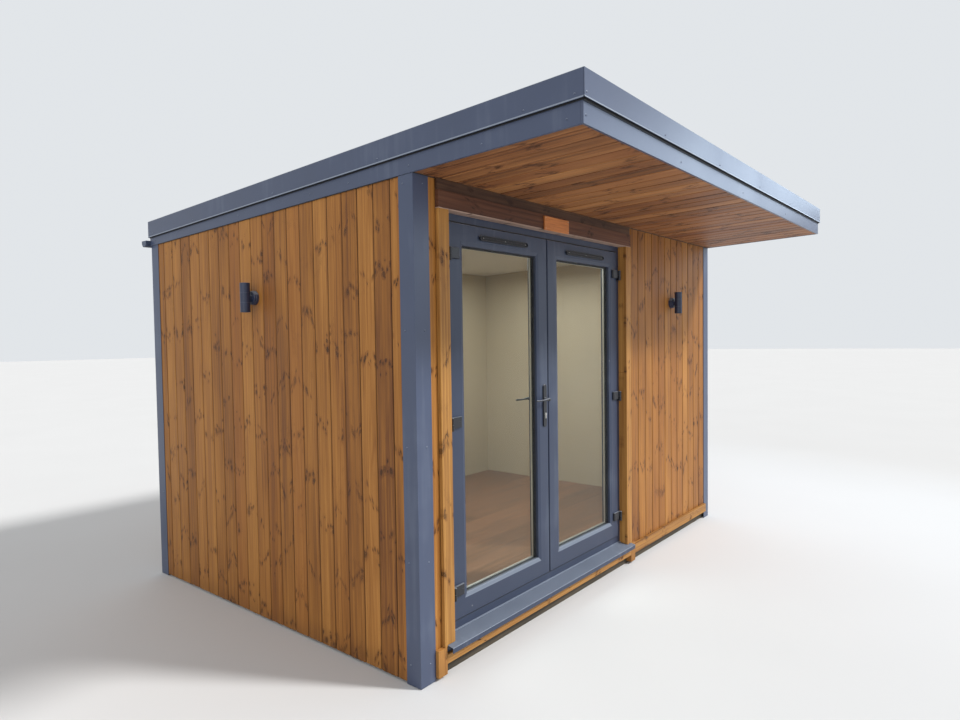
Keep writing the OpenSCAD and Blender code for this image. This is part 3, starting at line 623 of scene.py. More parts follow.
class Maker:
    """Collects solids into one mesh, with each board's own grain direction and lot numbers."""

    def __init__(self, seed):
        self.mesh = bmesh.new()
        self.grain = self.mesh.verts.layers.float_vector.new("grain")
        self.lot = self.mesh.verts.layers.float_vector.new("lot")
        self.dice = random.Random(seed)

    def fresh(self):
        """The vertices that have no lot number yet."""
        return [v for v in self.mesh.verts if not v[self.lot].x]

    def close(self, axes, origin, bevel, segments=2, sharp=0.5):
        """Rounds the new solid's edges, and gives it its grain and lot numbers."""
        fresh = self.fresh()
        bmesh.ops.recalc_face_normals(self.mesh, faces=list({f for v in fresh for f in v.link_faces}))
        if bevel:
            edges = [e for e in {e for v in fresh for e in v.link_edges}
                     if len(e.link_faces) == 2 and e.calc_face_angle(0) > sharp]
            bmesh.ops.bevel(
                self.mesh, geom=edges, offset=bevel * MM, offset_type="OFFSET", segments=segments,
                profile=0.5, affect="EDGES", clamp_overlap=True)
        lot = Vector((self.dice.uniform(0.01, 1), self.dice.random(), self.dice.random()))
        u, v, w = axes
        for vert in self.fresh():
            rel = vert.co - origin
            vert[self.grain] = Vector((rel.dot(u), rel.dot(v), rel.dot(w)))
            vert[self.lot] = lot

    def band(self, first, second):
        """Faces between two closed loops with the same number of vertices."""
        for k in range(len(first)):
            m = (k + 1) % len(first)
            self.mesh.faces.new((first[k], first[m], second[m], second[k]))

    def caps(self, first, last):
        """Faces that close both ends of a solid."""
        self.mesh.faces.new(first[::-1])
        self.mesh.faces.new(last)

    def prism(self, outline, origin, axes, low, high, bevel=0.0, segments=2, sharp=0.5, tilt=None):
        """Extrudes an outline of (u, v) millimetres from low to high millimetres along the third axis.
        tilt gives, for a (u, v) point, what is added to low and to high there."""
        u, v, w = axes
        rings = [[], []]
        for a, b in outline:
            extra = tilt(a, b) if tilt else (0, 0)
            for ring, reach in zip(rings, (low + extra[0], high + extra[1])):
                ring.append(origin + (u * a + v * b + w * reach) * MM)
        rings = [[self.mesh.verts.new(point) for point in ring] for ring in rings]
        self.caps(*rings)
        self.band(*rings)
        self.close((u, v, w), origin, bevel, segments, sharp)

    def box(self, low, high, bevel=1.0, along=2, segments=2):
        """A box between two corners in millimetres, whose grain runs along one axis."""
        low, high = Vector(low), Vector(high)
        order = {0: (Z, Y, X), 1: (X, Z, Y), 2: (X, Y, Z)}[along]
        a, b, c = ((high - low).dot(axis) for axis in order)
        self.prism([(0, 0), (a, 0), (a, b), (0, b)], at(*low), order, 0, c, bevel, segments)

    def ring(self, rect, profile, front, bevel=0.0):
        """A mitred frame. rect is (x0, z0, x1, z1); each profile point is (side, low, high, depth)
        in millimetres: how far in from the sides, the bottom and the top, and how far back."""
        x0, z0, x1, z1 = rect
        loops = []
        for side, low, high, depth in profile:
            left, right, bottom, top = x0 + side, x1 - side, z0 + low, z1 - high
            loops.append([
                self.mesh.verts.new(at(x, front + depth, z))
                for x, z in ((left, bottom), (right, bottom), (right, top), (left, top))])
        for first, second in zip(loops, loops[1:] + loops[:1]):
            self.band(first, second)
        self.close((X, Y, Z), at(x0, front, z0), bevel)

    def lathe(self, profile, origin, axis, sides=32):
        """Turns (radius, height) points in millimetres about an axis through origin."""
        side = axis.orthogonal().normalized()
        other = axis.cross(side)
        rings = []
        for radius, height in profile:
            turns = [2 * math.pi * k / sides for k in range(sides)] if radius > 0 else [0]
            rings.append([
                self.mesh.verts.new(
                    origin + ((side * math.cos(t) + other * math.sin(t)) * radius + axis * height) * MM)
                for t in turns])
        for first, second in zip(rings, rings[1:]):
            for k in range(sides):
                m = (k + 1) % sides
                corners = ((first, k), (first, m), (second, m), (second, k))
                unique = list(dict.fromkeys(ring[n % len(ring)] for ring, n in corners))
                if len(unique) > 2:
                    self.mesh.faces.new(unique)
        for ring, way in ((rings[0], -1), (rings[-1], 1)):
            if len(ring) > 2:
                self.mesh.faces.new(ring[::way])
        self.close((side, other, axis), origin, 0)

    def sweep(self, origin, sections):
        """Joins closed sections of points, with caps at both ends."""
        rings = [[self.mesh.verts.new(point) for point in section] for section in sections]
        for first, second in zip(rings, rings[1:]):
            self.band(first, second)
        self.caps(rings[0], rings[-1])
        self.close((X, Y, Z), origin, 0)

    def piece(self, name, material, body, slot, replaces=(), smooth=35):
        """Turns what was collected into an object that rides on a body."""
        mesh = bpy.data.meshes.new(name)
        self.mesh.normal_update()
        self.mesh.to_mesh(mesh)
        self.mesh.free()
        obj = add_object(name, mesh)
        mesh.materials.append(material)
        mesh.set_sharp_from_angle(angle=math.radians(smooth))
        for polygon in mesh.polygons:
            polygon.use_smooth = True
        obj.modifiers.new("even_shading", "WEIGHTED_NORMAL").keep_sharp = True
        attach(obj, body)
        if replaces:
            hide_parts(*replaces)


def dress(node, material):
    """Gives a CAD node that keeps its shape a better material."""
    obj = frame["nodes"][node]
    obj.data.materials.clear()
    obj.data.materials.append(material)


def screw(maker, x, y, z, axis, size=None):
    """A domed screw head with a small driver recess, standing on a surface."""
    radius = (size or sizes().screw_head / MM) / 2
    rise = radius * 0.42
    profile = [(radius, 0), (radius * 0.98, rise * 0.35), (radius * 0.75, rise * 0.8),
               (radius * 0.42, rise), (radius * 0.36, rise * 0.35), (0, rise * 0.3)]
    maker.lathe(profile, at(x, y, z), axis, sides=14)


def under_roof(origin, axes):
    """A tilt for prism that ends uprights just under the roof's sloping edge."""
    def reach(u, v):
        point = (origin - CORNER) / MM + axes[0] * u + axes[1] * v
        return 0, under_edge(point.y) - SHADOW_GAP
    return reach


# The pieces


def board_edges(start, end, first):
    """Joints between the boards of a row, in millimetres."""
    cover, least = sizes().board_cover / MM, 6
    edges = [start]
    joint = first
    while joint < end - least:
        if joint > start + least:
            edges.append(joint)
        joint += cover
    return edges + [end]


def board_section(width, thick, first, last, dice):
    """The outline of one V-jointed board, with its face at v = 0."""
    s = sizes()
    chamfer, gap = s.board_chamfer / MM, s.board_gap / MM / 2
    face = dice.random() * s.board_warp / MM
    left = [(0, thick), (0, face)] if first else [
        (gap + dice.uniform(0, 0.4), thick), (gap, chamfer + face), (gap + chamfer, face)]
    right = [(width, face), (width, thick)] if last else [
        (width - gap - chamfer, face), (width - gap, chamfer + face),
        (width - gap - dice.uniform(0, 0.4), thick)]
    return left + right


def boards(edges, thick, dice):
    """The near edge and the outline of each board of a row."""
    last = len(edges) - 2
    for n, (a, b) in enumerate(zip(edges, edges[1:])):
        yield a, board_section(b - a, thick, n == 0, n == last, dice)


class POD_OT_cladding(bpy.types.Operator):
    """Upright V-jointed boards on the four walls"""
    bl_idname = "pod.cladding"
    bl_label = "Cladding boards"

    def execute(self, context):
        # The first joint on each wall, and the axis along which its boards lie side by side
        walls = (("left", 150, 1), ("right", 150, 1), ("back", 146, 0), ("front", None, 0))
        for index, (side, first, run) in enumerate(walls):
            low, high = span(side + "_cladding")
            thick = high[1 - run] - low[1 - run]
            rows = [(low[run], high[run], first)]
            if side == "front":
                rows = [(low.x, FRAME_LOW.x, 149), (FRAME_HIGH.x, high.x, 2090)]
            maker = Maker(seed=11 + index)
            for row in rows:
                for edge, outline in boards(board_edges(*row), thick, maker.dice):
                    origin, axes = {
                        "left": (at(low.x, edge, 0), (Y, X, Z)),
                        "right": (at(high.x, edge, 0), (Y, -X, Z)),
                        "back": (at(edge, high.y, 0), (X, -Y, Z)),
                        "front": (at(edge, low.y, 0), (X, Y, Z)),
                    }[side]
                    foot = low.z + maker.dice.uniform(0, 1.5)
                    maker.prism(outline, origin, axes, foot, 0, 0.5, 1, 0.4, tilt=under_roof(origin, axes))
            node = side + "_cladding"
            maker.piece(node + "_boards", timber("cladding"), "pod", "cladding", (node,))
        return {"FINISHED"}


class POD_OT_soffit(bpy.types.Operator):
    """Boards under the canopy, from the wall to the front fascia"""
    bl_idname = "pod.soffit"
    bl_label = "Canopy boards"

    def execute(self, context):
        low, high = span("canopy_soffit")
        maker = Maker(seed=31)
        thick, first_joint = 15.5, 62
        # A board's outline has u along x and v upwards, so the boards run back to the wall
        slope = UNDER_WAY.normalized()
        axes = (X, X.cross(slope), slope)
        length_y = (high.y - low.y) / slope.y
        for edge, outline in boards(board_edges(low.x, high.x, first_joint), thick, maker.dice):
            origin = at(edge, low.y, under_edge(low.y) + 2)
            maker.prism(outline, origin, axes, 0.5, length_y - 1.5, 0.5, 1, 0.4)
        maker.piece("canopy_boards", timber("soffit"), "pod", "soffit_timber", ("canopy_soffit",))
        return {"FINISHED"}


class POD_OT_surround(bpy.types.Operator):
    """Battens, head board, bottom rail and plaque round the doorway"""
    bl_idname = "pod.surround"
    bl_label = "Timber surround"

    def execute(self, context):
        self.jambs()
        self.head()
        self.rail()
        self.plaque()
        return {"FINISHED"}

    def jambs(self):
        """A batten up each side of the doorway, with a lining strip behind its inner edge."""
        low, high = span("jamb_battens")
        width = FRAME_LOW.x + 5 - low.x
        step = SILL_LOW.x - low.x
        thick, strip, strip_y = 21, 5, 2

        def on_sill(start, step=0):
            """A tilt for prism that ends an upright on a foot block or on the sloping sill."""
            def reach(u, v):
                return (FOOT_TOP if u < step else sill_slope(start + v)) + SHADOW_GAP, 0
            return reach

        maker = Maker(seed=41)
        stops = (0, step - 0.2, step + 0.2, width)
        batten = [(u, 0) for u in stops] + [(u, thick) for u in stops[::-1]]
        lining_depth = FRAME_LOW.y - strip_y
        lining_strip = [(0, 0), (strip, 0), (strip, lining_depth), (0, lining_depth)]
        for hand, edge in ((1, low.x), (-1, high.x)):
            axes = (X * hand, Y, Z)
            maker.prism(batten, at(edge, low.y, 0), axes, 0, high.z, 1.6, tilt=on_sill(low.y, step))
            origin = at(edge + hand * (width - strip), strip_y, 0)
            maker.prism(lining_strip, origin, axes, 0, high.z, 0.6, tilt=on_sill(strip_y))
        # The surround timber is painted paler and more golden than the cladding: painted sunlight
        maker.piece("jamb_batten_boards", timber("surround"), "pod", "trim_timber", ("jamb_battens",))

    def head(self):
        """The board over the doors with its sawn lower edge, and the dark batten over it; the board and
        batten are painted darker as painted shade, the sawn edge paler as painted light from below.
        """
        low, high = span("head_board")
        edge = 4
        maker = Maker(seed=44)
        maker.box((low.x, low.y, low.z + edge), (high.x, 3, high.z), 1.6, along=0)
        maker.box((FRAME_LOW.x + 2, 2, FRAME_HIGH.z), (FRAME_HIGH.x - 2, 21, high.z), 0.6, along=0)
        maker.piece("head_board_timber", timber("head"), "pod", "trim_timber", ("head_board",))
        maker = Maker(seed=45)
        maker.box((low.x + 0.5, low.y + 0.3, low.z), (high.x - 0.5, 3, low.z + edge - 0.1), 1.0, along=0)
        maker.box((FRAME_LOW.x, 2.8, low.z), (FRAME_HIGH.x, high.y, FRAME_HIGH.z - 0.2), 0.6, along=0)
        maker.piece("head_board_underside", timber("sawn"), "pod", "trim_timber")

        low, high = span("head_batten")
        foot = low.z + 0.5
        top, ledge = high.z - foot, high.z - 2.4 - foot
        maker = Maker(seed=46)
        outline = [(0, low.y), (0, 3), (ledge, 3), (ledge, -0.4), (top, -0.4), (top, low.y)]
        maker.prism(outline, at(low.x + 0.5, 0, foot), (Z, Y, X), 0, high.x - low.x - 1, 1.2)
        maker.piece("head_batten_timber", timber("batten"), "pod", "dark_timber", ("head_batten",))

    def rail(self):
        """The bottom rail in two lengths, between upright blocks that stand beside the sill."""
        low, high = span("bottom_rail")
        rail, rail_top, behind, gap = 62, 127, 2.6, 4
        block = SILL_LOW.x - gap
        far_block = FRAME_LOW.x + FRAME_HIGH.x - block
        far_end = far_block + block - low.x
        maker = Maker(seed=48)
        maker.box((block + 0.3, low.y, rail), (far_block - 0.3, high.y, SILL_LOW.z - 0.3), 1.6, along=0)
        face, back = rail_top - rail, SILL_LOW.z - 1 - rail
        outline = [(0, low.y), (0, high.y), (back, high.y), (back, behind), (face, behind), (face, low.y)]
        maker.prism(outline, at(far_end + 0.3, 0, rail), (Z, Y, X), 0, high.x - far_end - 1, 1.6)
        for x0, x1 in ((low.x + 0.5, block), (far_block, far_end)):
            maker.box((x0, low.y, low.z), (x1, behind, FOOT_TOP), 1.6, along=2)
            maker.box((x0, behind, low.z + 1), (x1, high.y, SILL_LOW.z - 1), 0.6, along=2)
        # The surround timber is painted paler and more golden than the cladding: painted sunlight
        maker.piece("bottom_rail_timber", timber("surround"), "pod", "trim_timber", ("bottom_rail",))

    def plaque(self):
        """The bare plaque on the head board, with a pin in each corner."""
        low, high = span("name_plaque")
        maker = Maker(seed=50)
        maker.box(low, high, 1.8, along=0, segments=3)
        maker.piece("bare_plaque", plaque_wood("bare"), "pod", "plaque_timber", ("name_plaque",))
        maker = Maker(seed=51)
        edge = 9
        for x in (low.x + edge, high.x - edge):
            for z in (low.z + edge, high.z - edge):
                screw(maker, x, low.y, z, -Y, 5.0)
        maker.piece("plaque_pins", bare_metal("steel"), "pod", "hinge_metal")


class POD_OT_corner_trims(bpy.types.Operator):
    """Folded metal angles on the four corners"""
    bl_idname = "pod.corner_trims"
    bl_label = "Corner trims"

    def execute(self, context):
        low, high = span("corner_trims")
        leg, side_leg, sheet, lip = 98, 89, 2.2, 6
        outline = [
            (0, 0), (leg, 0), (leg, sheet + 0.8), (leg - lip, sheet), (sheet, sheet),
            (sheet, side_leg - lip), (sheet + 0.8, side_leg), (0, side_leg)]
        maker = Maker(seed=61)
        for sx, x in ((1, 0), (-1, high.x)):
            for sy, y in ((1, 0), (-1, high.y)):
                origin, axes = at(x, y, 0), (X * sx, Y * sy, Z)
                maker.prism(
                    outline[::sx * sy], origin, axes, low.z, 0, 0.9, 2, 0.7, tilt=under_roof(origin, axes))
        maker.piece("corner_trim_angles", coated_metal("sheet"), "pod", "coated_metal", ("corner_trims",))
        return {"FINISHED"}


class POD_OT_roof_edges(bpy.types.Operator):
    """Fascia boards, folded upper trims and black strips of painted shade in their gaps"""
    bl_idname = "pod.roof_edges"
    bl_label = "Roof edges"

    def execute(self, context):
        self.fascias()
        self.strips()
        self.trims()
        return {"FINISHED"}

    def fascias(self):
        """The four lower boards, up to the roof flange of the upper trims."""
        left, right, front = FASCIA_LOW.x, FASCIA_HIGH.x, FASCIA_LOW.y
        back = span("side_and_back_fascias")[1].y
        thick = FASCIA_HIGH.y - front
        cap = 3.1

        def slice_of(y0, y1):
            """The outline of a board that runs from y0 to y1, seen from the side."""
            return [
                (y0, under_edge(y0)), (y1, under_edge(y1)),
                (y1, roof_top(y1) - cap), (y0, roof_top(y0) - cap)]

        maker = Maker(seed=71)
        top = roof_top(front) - cap
        outline = [(0, FASCIA_LOW.z), (thick, FASCIA_LOW.z), (thick, top - 1), (0, top)]
        maker.prism(outline, at(left, front, 0), (Y, Z, X), 0, right - left, 1.2)
        maker.piece("front_fascia_board", coated_metal("sheet"), "pod", "coated_metal", ("front_fascia",))

        maker = Maker(seed=72)
        for x in (left, right - thick):
            maker.prism(slice_of(front + thick, back), at(x, 0, 0), (Y, Z, X), 0, thick, 1.2)
        inner = right - left - 2 * thick
        maker.prism(slice_of(back - thick, back), at(left + thick, 0, 0), (Y, Z, X), 0.2, inner - 0.2, 1.0)
        maker.piece(
            "side_fascia_boards", coated_metal("sheet"), "pod", "coated_metal", ("side_and_back_fascias",))

    def strips(self):
        """Black strips of painted shade behind the drip edge, under the side fascias and behind the canopy
        boards.
        """
        left, right, front = FASCIA_LOW.x, FASCIA_HIGH.x, FASCIA_LOW.y
        back = span("side_and_back_fascias")[1].y
        drip_z = TRIM_LOW.z - DRIP_RISE
        deep, near, tall, inset = 3.5, 0.2, 22, 95
        maker = Maker(seed=76)
        maker.box((left, front - deep, drip_z), (right, front - near, drip_z + tall), 0.4, along=0)
        for x, hand in ((left, 1), (right, -1)):
            fall = roof_top(front) - TRIM_HIGH.z + TRIM_LOW.z - deep
            strip = [(-deep, 0), (-near, 0), (-near, tall), (-deep, tall)][::hand]
            maker.prism(strip, at(x, front, fall), (X * hand, Z, ROOF_WAY), 0, back - front - 2, 0.4)
            strip = [(2, -3), (6, -3), (6, -0.3), (2, -0.3)][::hand]
            origin = at(x, inset, under_edge(inset))
            maker.prism(strip, origin, (X * hand, Z, UNDER_WAY), 0, back - 2 * inset, 0.3)
        foot = under_edge(0)
        maker.box((2, -1.3, foot - 2.2), (WALL_HIGH.x - 2, -0.1, foot + 2.6), 0.2, along=0)
        maker.piece("shadow_gap_strips", rubber_seal("foam"), "pod", "membrane")

    def trims(self):
        """The upper trims: a roof flange, a face and a folded drip edge that leans out."""
        sheet, flange, drop = 2.4, 90, TRIM_HIGH.z - TRIM_LOW.z
        drip = [(-DRIP_OUT, -drop), (-DRIP_OUT, 1.2 - drop), (0, DRIP_RISE + 1 - drop)]
        inside = [(sheet, DRIP_RISE + 1 - drop), (sheet + 0.6 - DRIP_OUT, -drop)]

        def mitre(u, v):
            """Lets the drip's ends run out as far as the drip leans."""
            reach = max(0, min(DRIP_OUT, -u)) if v < DRIP_RISE - drop else 0
            return -reach, reach

        maker = Maker(seed=73)
        lift = -ROOF_FALL * flange
        outline = [*drip, (0, 0), (flange, lift), (flange, lift - sheet), (sheet, -sheet), *inside]
        origin = at(TRIM_LEFT, TRIM_FACE, TRIM_HIGH.z)
        maker.prism(outline, origin, (Y, Z, X), 0, TRIM_RIGHT - TRIM_LEFT, 0.6, 2, 0.6, tilt=mitre)
        maker.piece("front_trim_fold", coated_metal("sheet"), "pod", "coated_metal", ("front_roof_trim",))

        low, high = span("side_roof_trims")
        side_back = high.y
        maker = Maker(seed=74)
        face = [*drip, (0, -sheet), (sheet, -sheet), *inside]
        top = [(0, -sheet), (flange, -sheet), (flange, 0), (0, 0)]
        for hand, x in ((1, TRIM_LEFT), (-1, TRIM_RIGHT)):
            origin, axes = at(x, low.y, roof_top(low.y)), (X * hand, Z, ROOF_WAY)
            for outline, start in ((face, 0.2), (top, TRIM_FACE + flange - low.y)):
                maker.prism(outline[::hand], origin, axes, start, high.y - low.y, 0.6, 2, 0.6)
        maker.piece("side_trim_folds", coated_metal("sheet"), "pod", "coated_metal", ("side_roof_trims",))

        low, high = span("back_roof_trim")
        y0, y1 = low.y, high.y - 1
        top = roof_top(high.y)
        maker = Maker(seed=75)
        maker.box((low.x, side_back + 0.1, top - drop), (high.x, high.y, top), 0.8, along=0)
        outline = [(y0, roof_top(y0)), (y0, roof_top(y0) - sheet), (y1, top - sheet), (y1, top)]
        inner = TRIM_RIGHT - TRIM_LEFT - 2 * flange
        maker.prism(outline, at(TRIM_LEFT + flange + 0.3, 0, 0), (Y, Z, X), 0, inner - 0.6, 0.6)
        maker.piece("back_trim_fold", coated_metal("sheet"), "pod", "coated_metal", ("back_roof_trim",))


class POD_OT_roof(bpy.types.Operator):
    """Roof sheet with lapped seams"""
    bl_idname = "pod.roof"
    bl_label = "Roof sheet"

    def execute(self, context):
        low, high = span("roof_membrane")
        width = high.x - low.x
        steps, seams, half_seam, seam_rise = 40, (1170, 2330), 30, 1.6
        thick, under_top = 3.2, 12
        dice = random.Random(5)
        section = []
        for k in range(steps + 1):
            x = width * k / steps
            seam = seam_rise if any(abs(low.x + x - seam_x) < half_seam for seam_x in seams) else 0
            section.append((x, seam - 1.6 + dice.uniform(-0.25, 0.25)))
        outline = [(0, -1.6 - thick)] + section + [(width, -1.6 - thick)]
        maker = Maker(seed=81)
        origin = at(low.x, low.y, roof_top(low.y) - under_top)
        maker.prism(outline[::-1], origin, (X, Z, ROOF_WAY), 0.5, high.y - low.y - 0.5)
        maker.piece("roof_sheet", rubber_seal("roof"), "pod", "membrane", ("roof_membrane",), smooth=20)
        return {"FINISHED"}


class POD_OT_gutter(bpy.types.Operator):
    """Half-round gutter along the back"""
    bl_idname = "pod.gutter"
    bl_label = "Gutter"

    def execute(self, context):
        low, high = span("gutter")
        run = high.x - low.x
        radius = (high.y - low.y) / 2
        middle_z = low.z + radius
        rim = high.z - middle_z
        wall, strap = 2.4, 1.6
        turns = [math.pi * k / 18 for k in range(19)]

        def shell(r, top):
            """Half of a circle, open upwards, with short straight sides up to its rim."""
            return [(-r, top)] + [(-r * math.cos(t), -r * math.sin(t)) for t in turns] + [(r, top)]

        outer = shell(radius - strap, rim - 0.5)
        inner = shell(radius - strap - wall, rim - 0.5)[::-1]
        origin = at(low.x, (low.y + high.y) / 2, middle_z)
        maker = Maker(seed=91)
        maker.prism(outer + inner, origin, (Y, Z, X), 0, run)
        cap = [(0.98 * a, 0.98 * b if b < 0 else b) for a, b in outer]
        for x in (0, run - 3):
            maker.prism(cap, origin, (Y, Z, X), x, x + 3, 0.4)
        # Five brackets across the open top, and union straps outside two joints of the run
        for i in range(5):
            x = 150 + i * (WALL_HIGH.x - 300) / 4
            maker.box((x, low.y + 1, high.z - 5), (x + 25, high.y - 1, high.z), 0.8, along=1)
        union = shell(radius, rim) + shell(radius - strap - 0.1, rim)[::-1]
        for x in (1180, 2360):
            maker.prism(union, origin, (Y, Z, X), x - 20, x + 20)
        maker.piece("back_gutter", coated_metal("sheet"), "pod", "coated_metal", ("gutter",))
        return {"FINISHED"}


class POD_OT_screws(bpy.types.Operator):
    """Screws in the metal trims and the fascias"""
    bl_idname = "pod.screws"
    bl_label = "Trim screws"

    def execute(self, context):
        maker = Maker(seed=101)
        side, front = (-X, X), (-Y, Y)
        high, inset = WALL_HIGH, 62
        for z in (95, 560, 1080, 1600, 2245):
            for x, way in zip((0, high.x), side):
                for y in (inset, high.y - inset):
                    screw(maker, x, y, z, way)
            for y, way in zip((0, high.y), front):
                for x in (inset, high.x - inset):
                    screw(maker, x, y, z, way)
        for x, way in zip((FASCIA_LOW.x, FASCIA_HIGH.x), side):
            for y in (-780, -390, 17, 418, 715, 1369, 2081, 2370):
                screw(maker, x, y, under_edge(y) + 30, way)
        for x in (12, 866, 1740, 2615, high.x - 12):
            screw(maker, x, FASCIA_LOW.y, FASCIA_LOW.z + 32, -Y)
        under_top = 84
        for x, way in zip((TRIM_LEFT, TRIM_RIGHT), side):
            for y in (-820, -600, 204, 1015, 1854, 2380):
                screw(maker, x, y, roof_top(y) - under_top, way)
        for x in (-2, 667, 1340, 2013, 2686, high.x - 2):
            screw(maker, x, TRIM_FACE, TRIM_HIGH.z - under_top, -Y)
        maker.piece("trim_screws", coated_metal("sheet"), "pod", "coated_metal")
        return {"FINISHED"}


class POD_OT_door_frame(bpy.types.Operator):
    """Door frame and its sloping sill"""
    bl_idname = "pod.door_frame"
    bl_label = "Door frame and sill"

    def execute(self, context):
        self.members()
        self.sill()
        return {"FINISHED"}

    def members(self):
        """The mitred frame with its rebate, and a dark sheet that lines the rebate as painted shade for the
        gap round the leaves.
        """
        leaf_low, leaf_high = LEAVES["left_leaf"]["box"]
        leaf_gap, lip, back = 5, 20, 10
        depth = FRAME_HIGH.y - FRAME_LOW.y
        opening = (
            leaf_low.x - leaf_gap - FRAME_LOW.x, leaf_low.z - leaf_gap - FRAME_LOW.z,
            FRAME_HIGH.z - leaf_high.z - leaf_gap)
        rect = (FRAME_LOW.x, FRAME_LOW.z, FRAME_HIGH.x, FRAME_HIGH.z)

        def rebate(extra, depth_at):
            """A profile point that lies extra millimetres past the rebate's sides."""
            return (*(v + extra for v in opening), depth_at)

        maker = Maker(seed=111)
        maker.ring(rect, [
            (0, 0, 0, 0), rebate(-1.2, 0), rebate(0, 1.2), rebate(0, depth - back),
            rebate(lip, depth - back), rebate(lip, depth), (0, 0, 0, depth)], FRAME_LOW.y, bevel=1.0)
        maker.piece("door_frame_members", coated_metal("foil"), "pod", "frame_plastic", ("door_frame",))
        film_back = depth - back - 0.4
        # A black sheet in the rebate and over its edge: painted shade in the gap round the leaves
        maker = Maker(seed=113)
        maker.ring(rect, [
            rebate(-3.5, 0.3), rebate(-3.5, -0.6), rebate(0.6, -0.6),
            rebate(0.6, film_back), rebate(-0.2, film_back), rebate(-0.2, 0.3)], FRAME_LOW.y)
        maker.piece("frame_rebate_film", rubber_seal("seal"), "pod", "frame_plastic")

    def sill(self):
        """The sloping sill: a folded nose, the part under the frame and a lip at the frame's foot."""
        nose, foot, back = SILL_LOW.y, SILL_LOW.z, FRAME_LOW.y
        sheet, lip = 3.6, 6
        under = foot + 12
        width = FRAME_HIGH.x - FRAME_LOW.x
        maker = Maker(seed=112)
        outline = [
            (-2, foot), (-2, sill_slope(-2) - sheet), (nose + sheet, sill_slope(nose + sheet) - sheet),
            (nose + sheet, under), (nose, under), (nose, foot + 36), (nose + 2.5, foot + 38),
            (3, sill_slope(3)), (3, foot)]
        maker.prism(outline, at(SILL_LOW.x, 0, 0), (Y, Z, X), 0, SILL_HIGH.x - SILL_LOW.x, 0.8)
        outline = [
            (2, foot), (2, sill_slope(2)), (back, sill_slope(back)),
            (back, SILL_HIGH.z), (SILL_HIGH.y, SILL_HIGH.z), (SILL_HIGH.y, foot)]
        maker.prism(outline, at(FRAME_LOW.x, 0, 0), (Y, Z, X), 0, width, 0.8)
        start, level = back - lip, sill_slope(back - lip)
        end = back - 0.4
        outline = [(start, level + 0.2), (end, level + 1.5), (end, level + 6.5), (start, level + 2.5)]
        maker.prism(outline, at(FRAME_LOW.x + 0.5, 0, 0), (Y, Z, X), 0, width - 1, 0.4)
        maker.piece("sloping_sill", coated_metal("sill"), "pod", "frame_plastic", ("door_sill",))


class POD_OT_door_leaves(bpy.types.Operator):
    """Glazed leaves with beads, seals and sealed glass units"""
    bl_idname = "pod.door_leaves"
    bl_label = "Door leaves"

    def execute(self, context):
        stile, foot, top, bead, inner = 85, 91, 85, 18, 13
        seal, foil = rubber_seal("seal"), coated_metal("foil")
        pane = 4

        def inset(extra, depth, less=0):
            """A profile point in from the leaf's members; less puts it lower at the foot."""
            return (stile + extra, foot + extra - less, top + extra, depth)

        for body, leaf in LEAVES.items():
            side = leaf["nodes"]
            low, high = leaf["box"]
            thick = high.y - low.y
            rect = (low.x, low.z, high.x, high.z)

            maker = Maker(seed=121)
            maker.ring(rect, [
                (0, 0, 0, 3), (3, 3, 3, 0), inset(-0.8, 0), inset(0, 0.7), inset(bead - 2, 4.6),
                inset(bead, 6.5), inset(bead, 24), inset(6, 24), inset(6, 52), inset(inner, 52),
                inset(inner, 62), inset(inner - 10, thick), (3, 3, 3, thick), (0, 0, 0, thick - 3)],
                low.y, bevel=0.5)
            maker.piece(side + "_leaf_members", foil, body, "frame_plastic", (side + "_door",), smooth=11)

            # Black seals on both faces of the glass
            maker = Maker(seed=122)
            for near, far, edge in ((19.5, 24, bead), (52, 56, inner)):
                maker.ring(rect, [
                    inset(edge - 4, near + 1), inset(edge + 2, near, 1), inset(edge + 3.5, near + 1.5, 2.3),
                    inset(edge + 3.5, far, 2.3), inset(edge - 4, far)], low.y)
            maker.piece(side + "_glass_seals", seal, body, "vent_plastic")

            # Sealant and a spacer bar between the panes
            for name, near, far, depth, less, material in (
                    ("_glass_sealant", 28.2, 36.5, 7.5, 5.5, seal),
                    ("_glass_spacer", 36.6, 47.8, 8, 2, bare_metal("spacer"))):
                maker = Maker(seed=123)
                maker.ring(rect, [
                    inset(bead + 1, near), inset(bead + depth, near, less),
                    inset(bead + depth, far, less), inset(bead + 1, far)], low.y)
                maker.piece(side + name, material, body, "hinge_metal")

            # Two panes with ground edges
            glass_low, glass_high = leaf["glass"]
            maker = Maker(seed=124)
            for y in (glass_low.y, glass_high.y - pane):
                maker.box(
                    (glass_low.x, y, glass_low.z), (glass_high.x, y + pane, glass_high.z), 0.5, segments=1)
            maker.piece(side + "_glass_panes", clear_glass("pane"), body, "glass", (side + "_glass",))

            # Rubber seal round the leaf, against the frame's stop
            maker = Maker(seed=125)
            section = ((4, 0), (12, 0), (12, 2.5), (6, 4))
            maker.ring(rect, [(edge, edge, edge, thick + rise) for edge, rise in section], low.y)
            maker.piece(side + "_leaf_seal", seal, body, "vent_plastic")
        return {"FINISHED"}


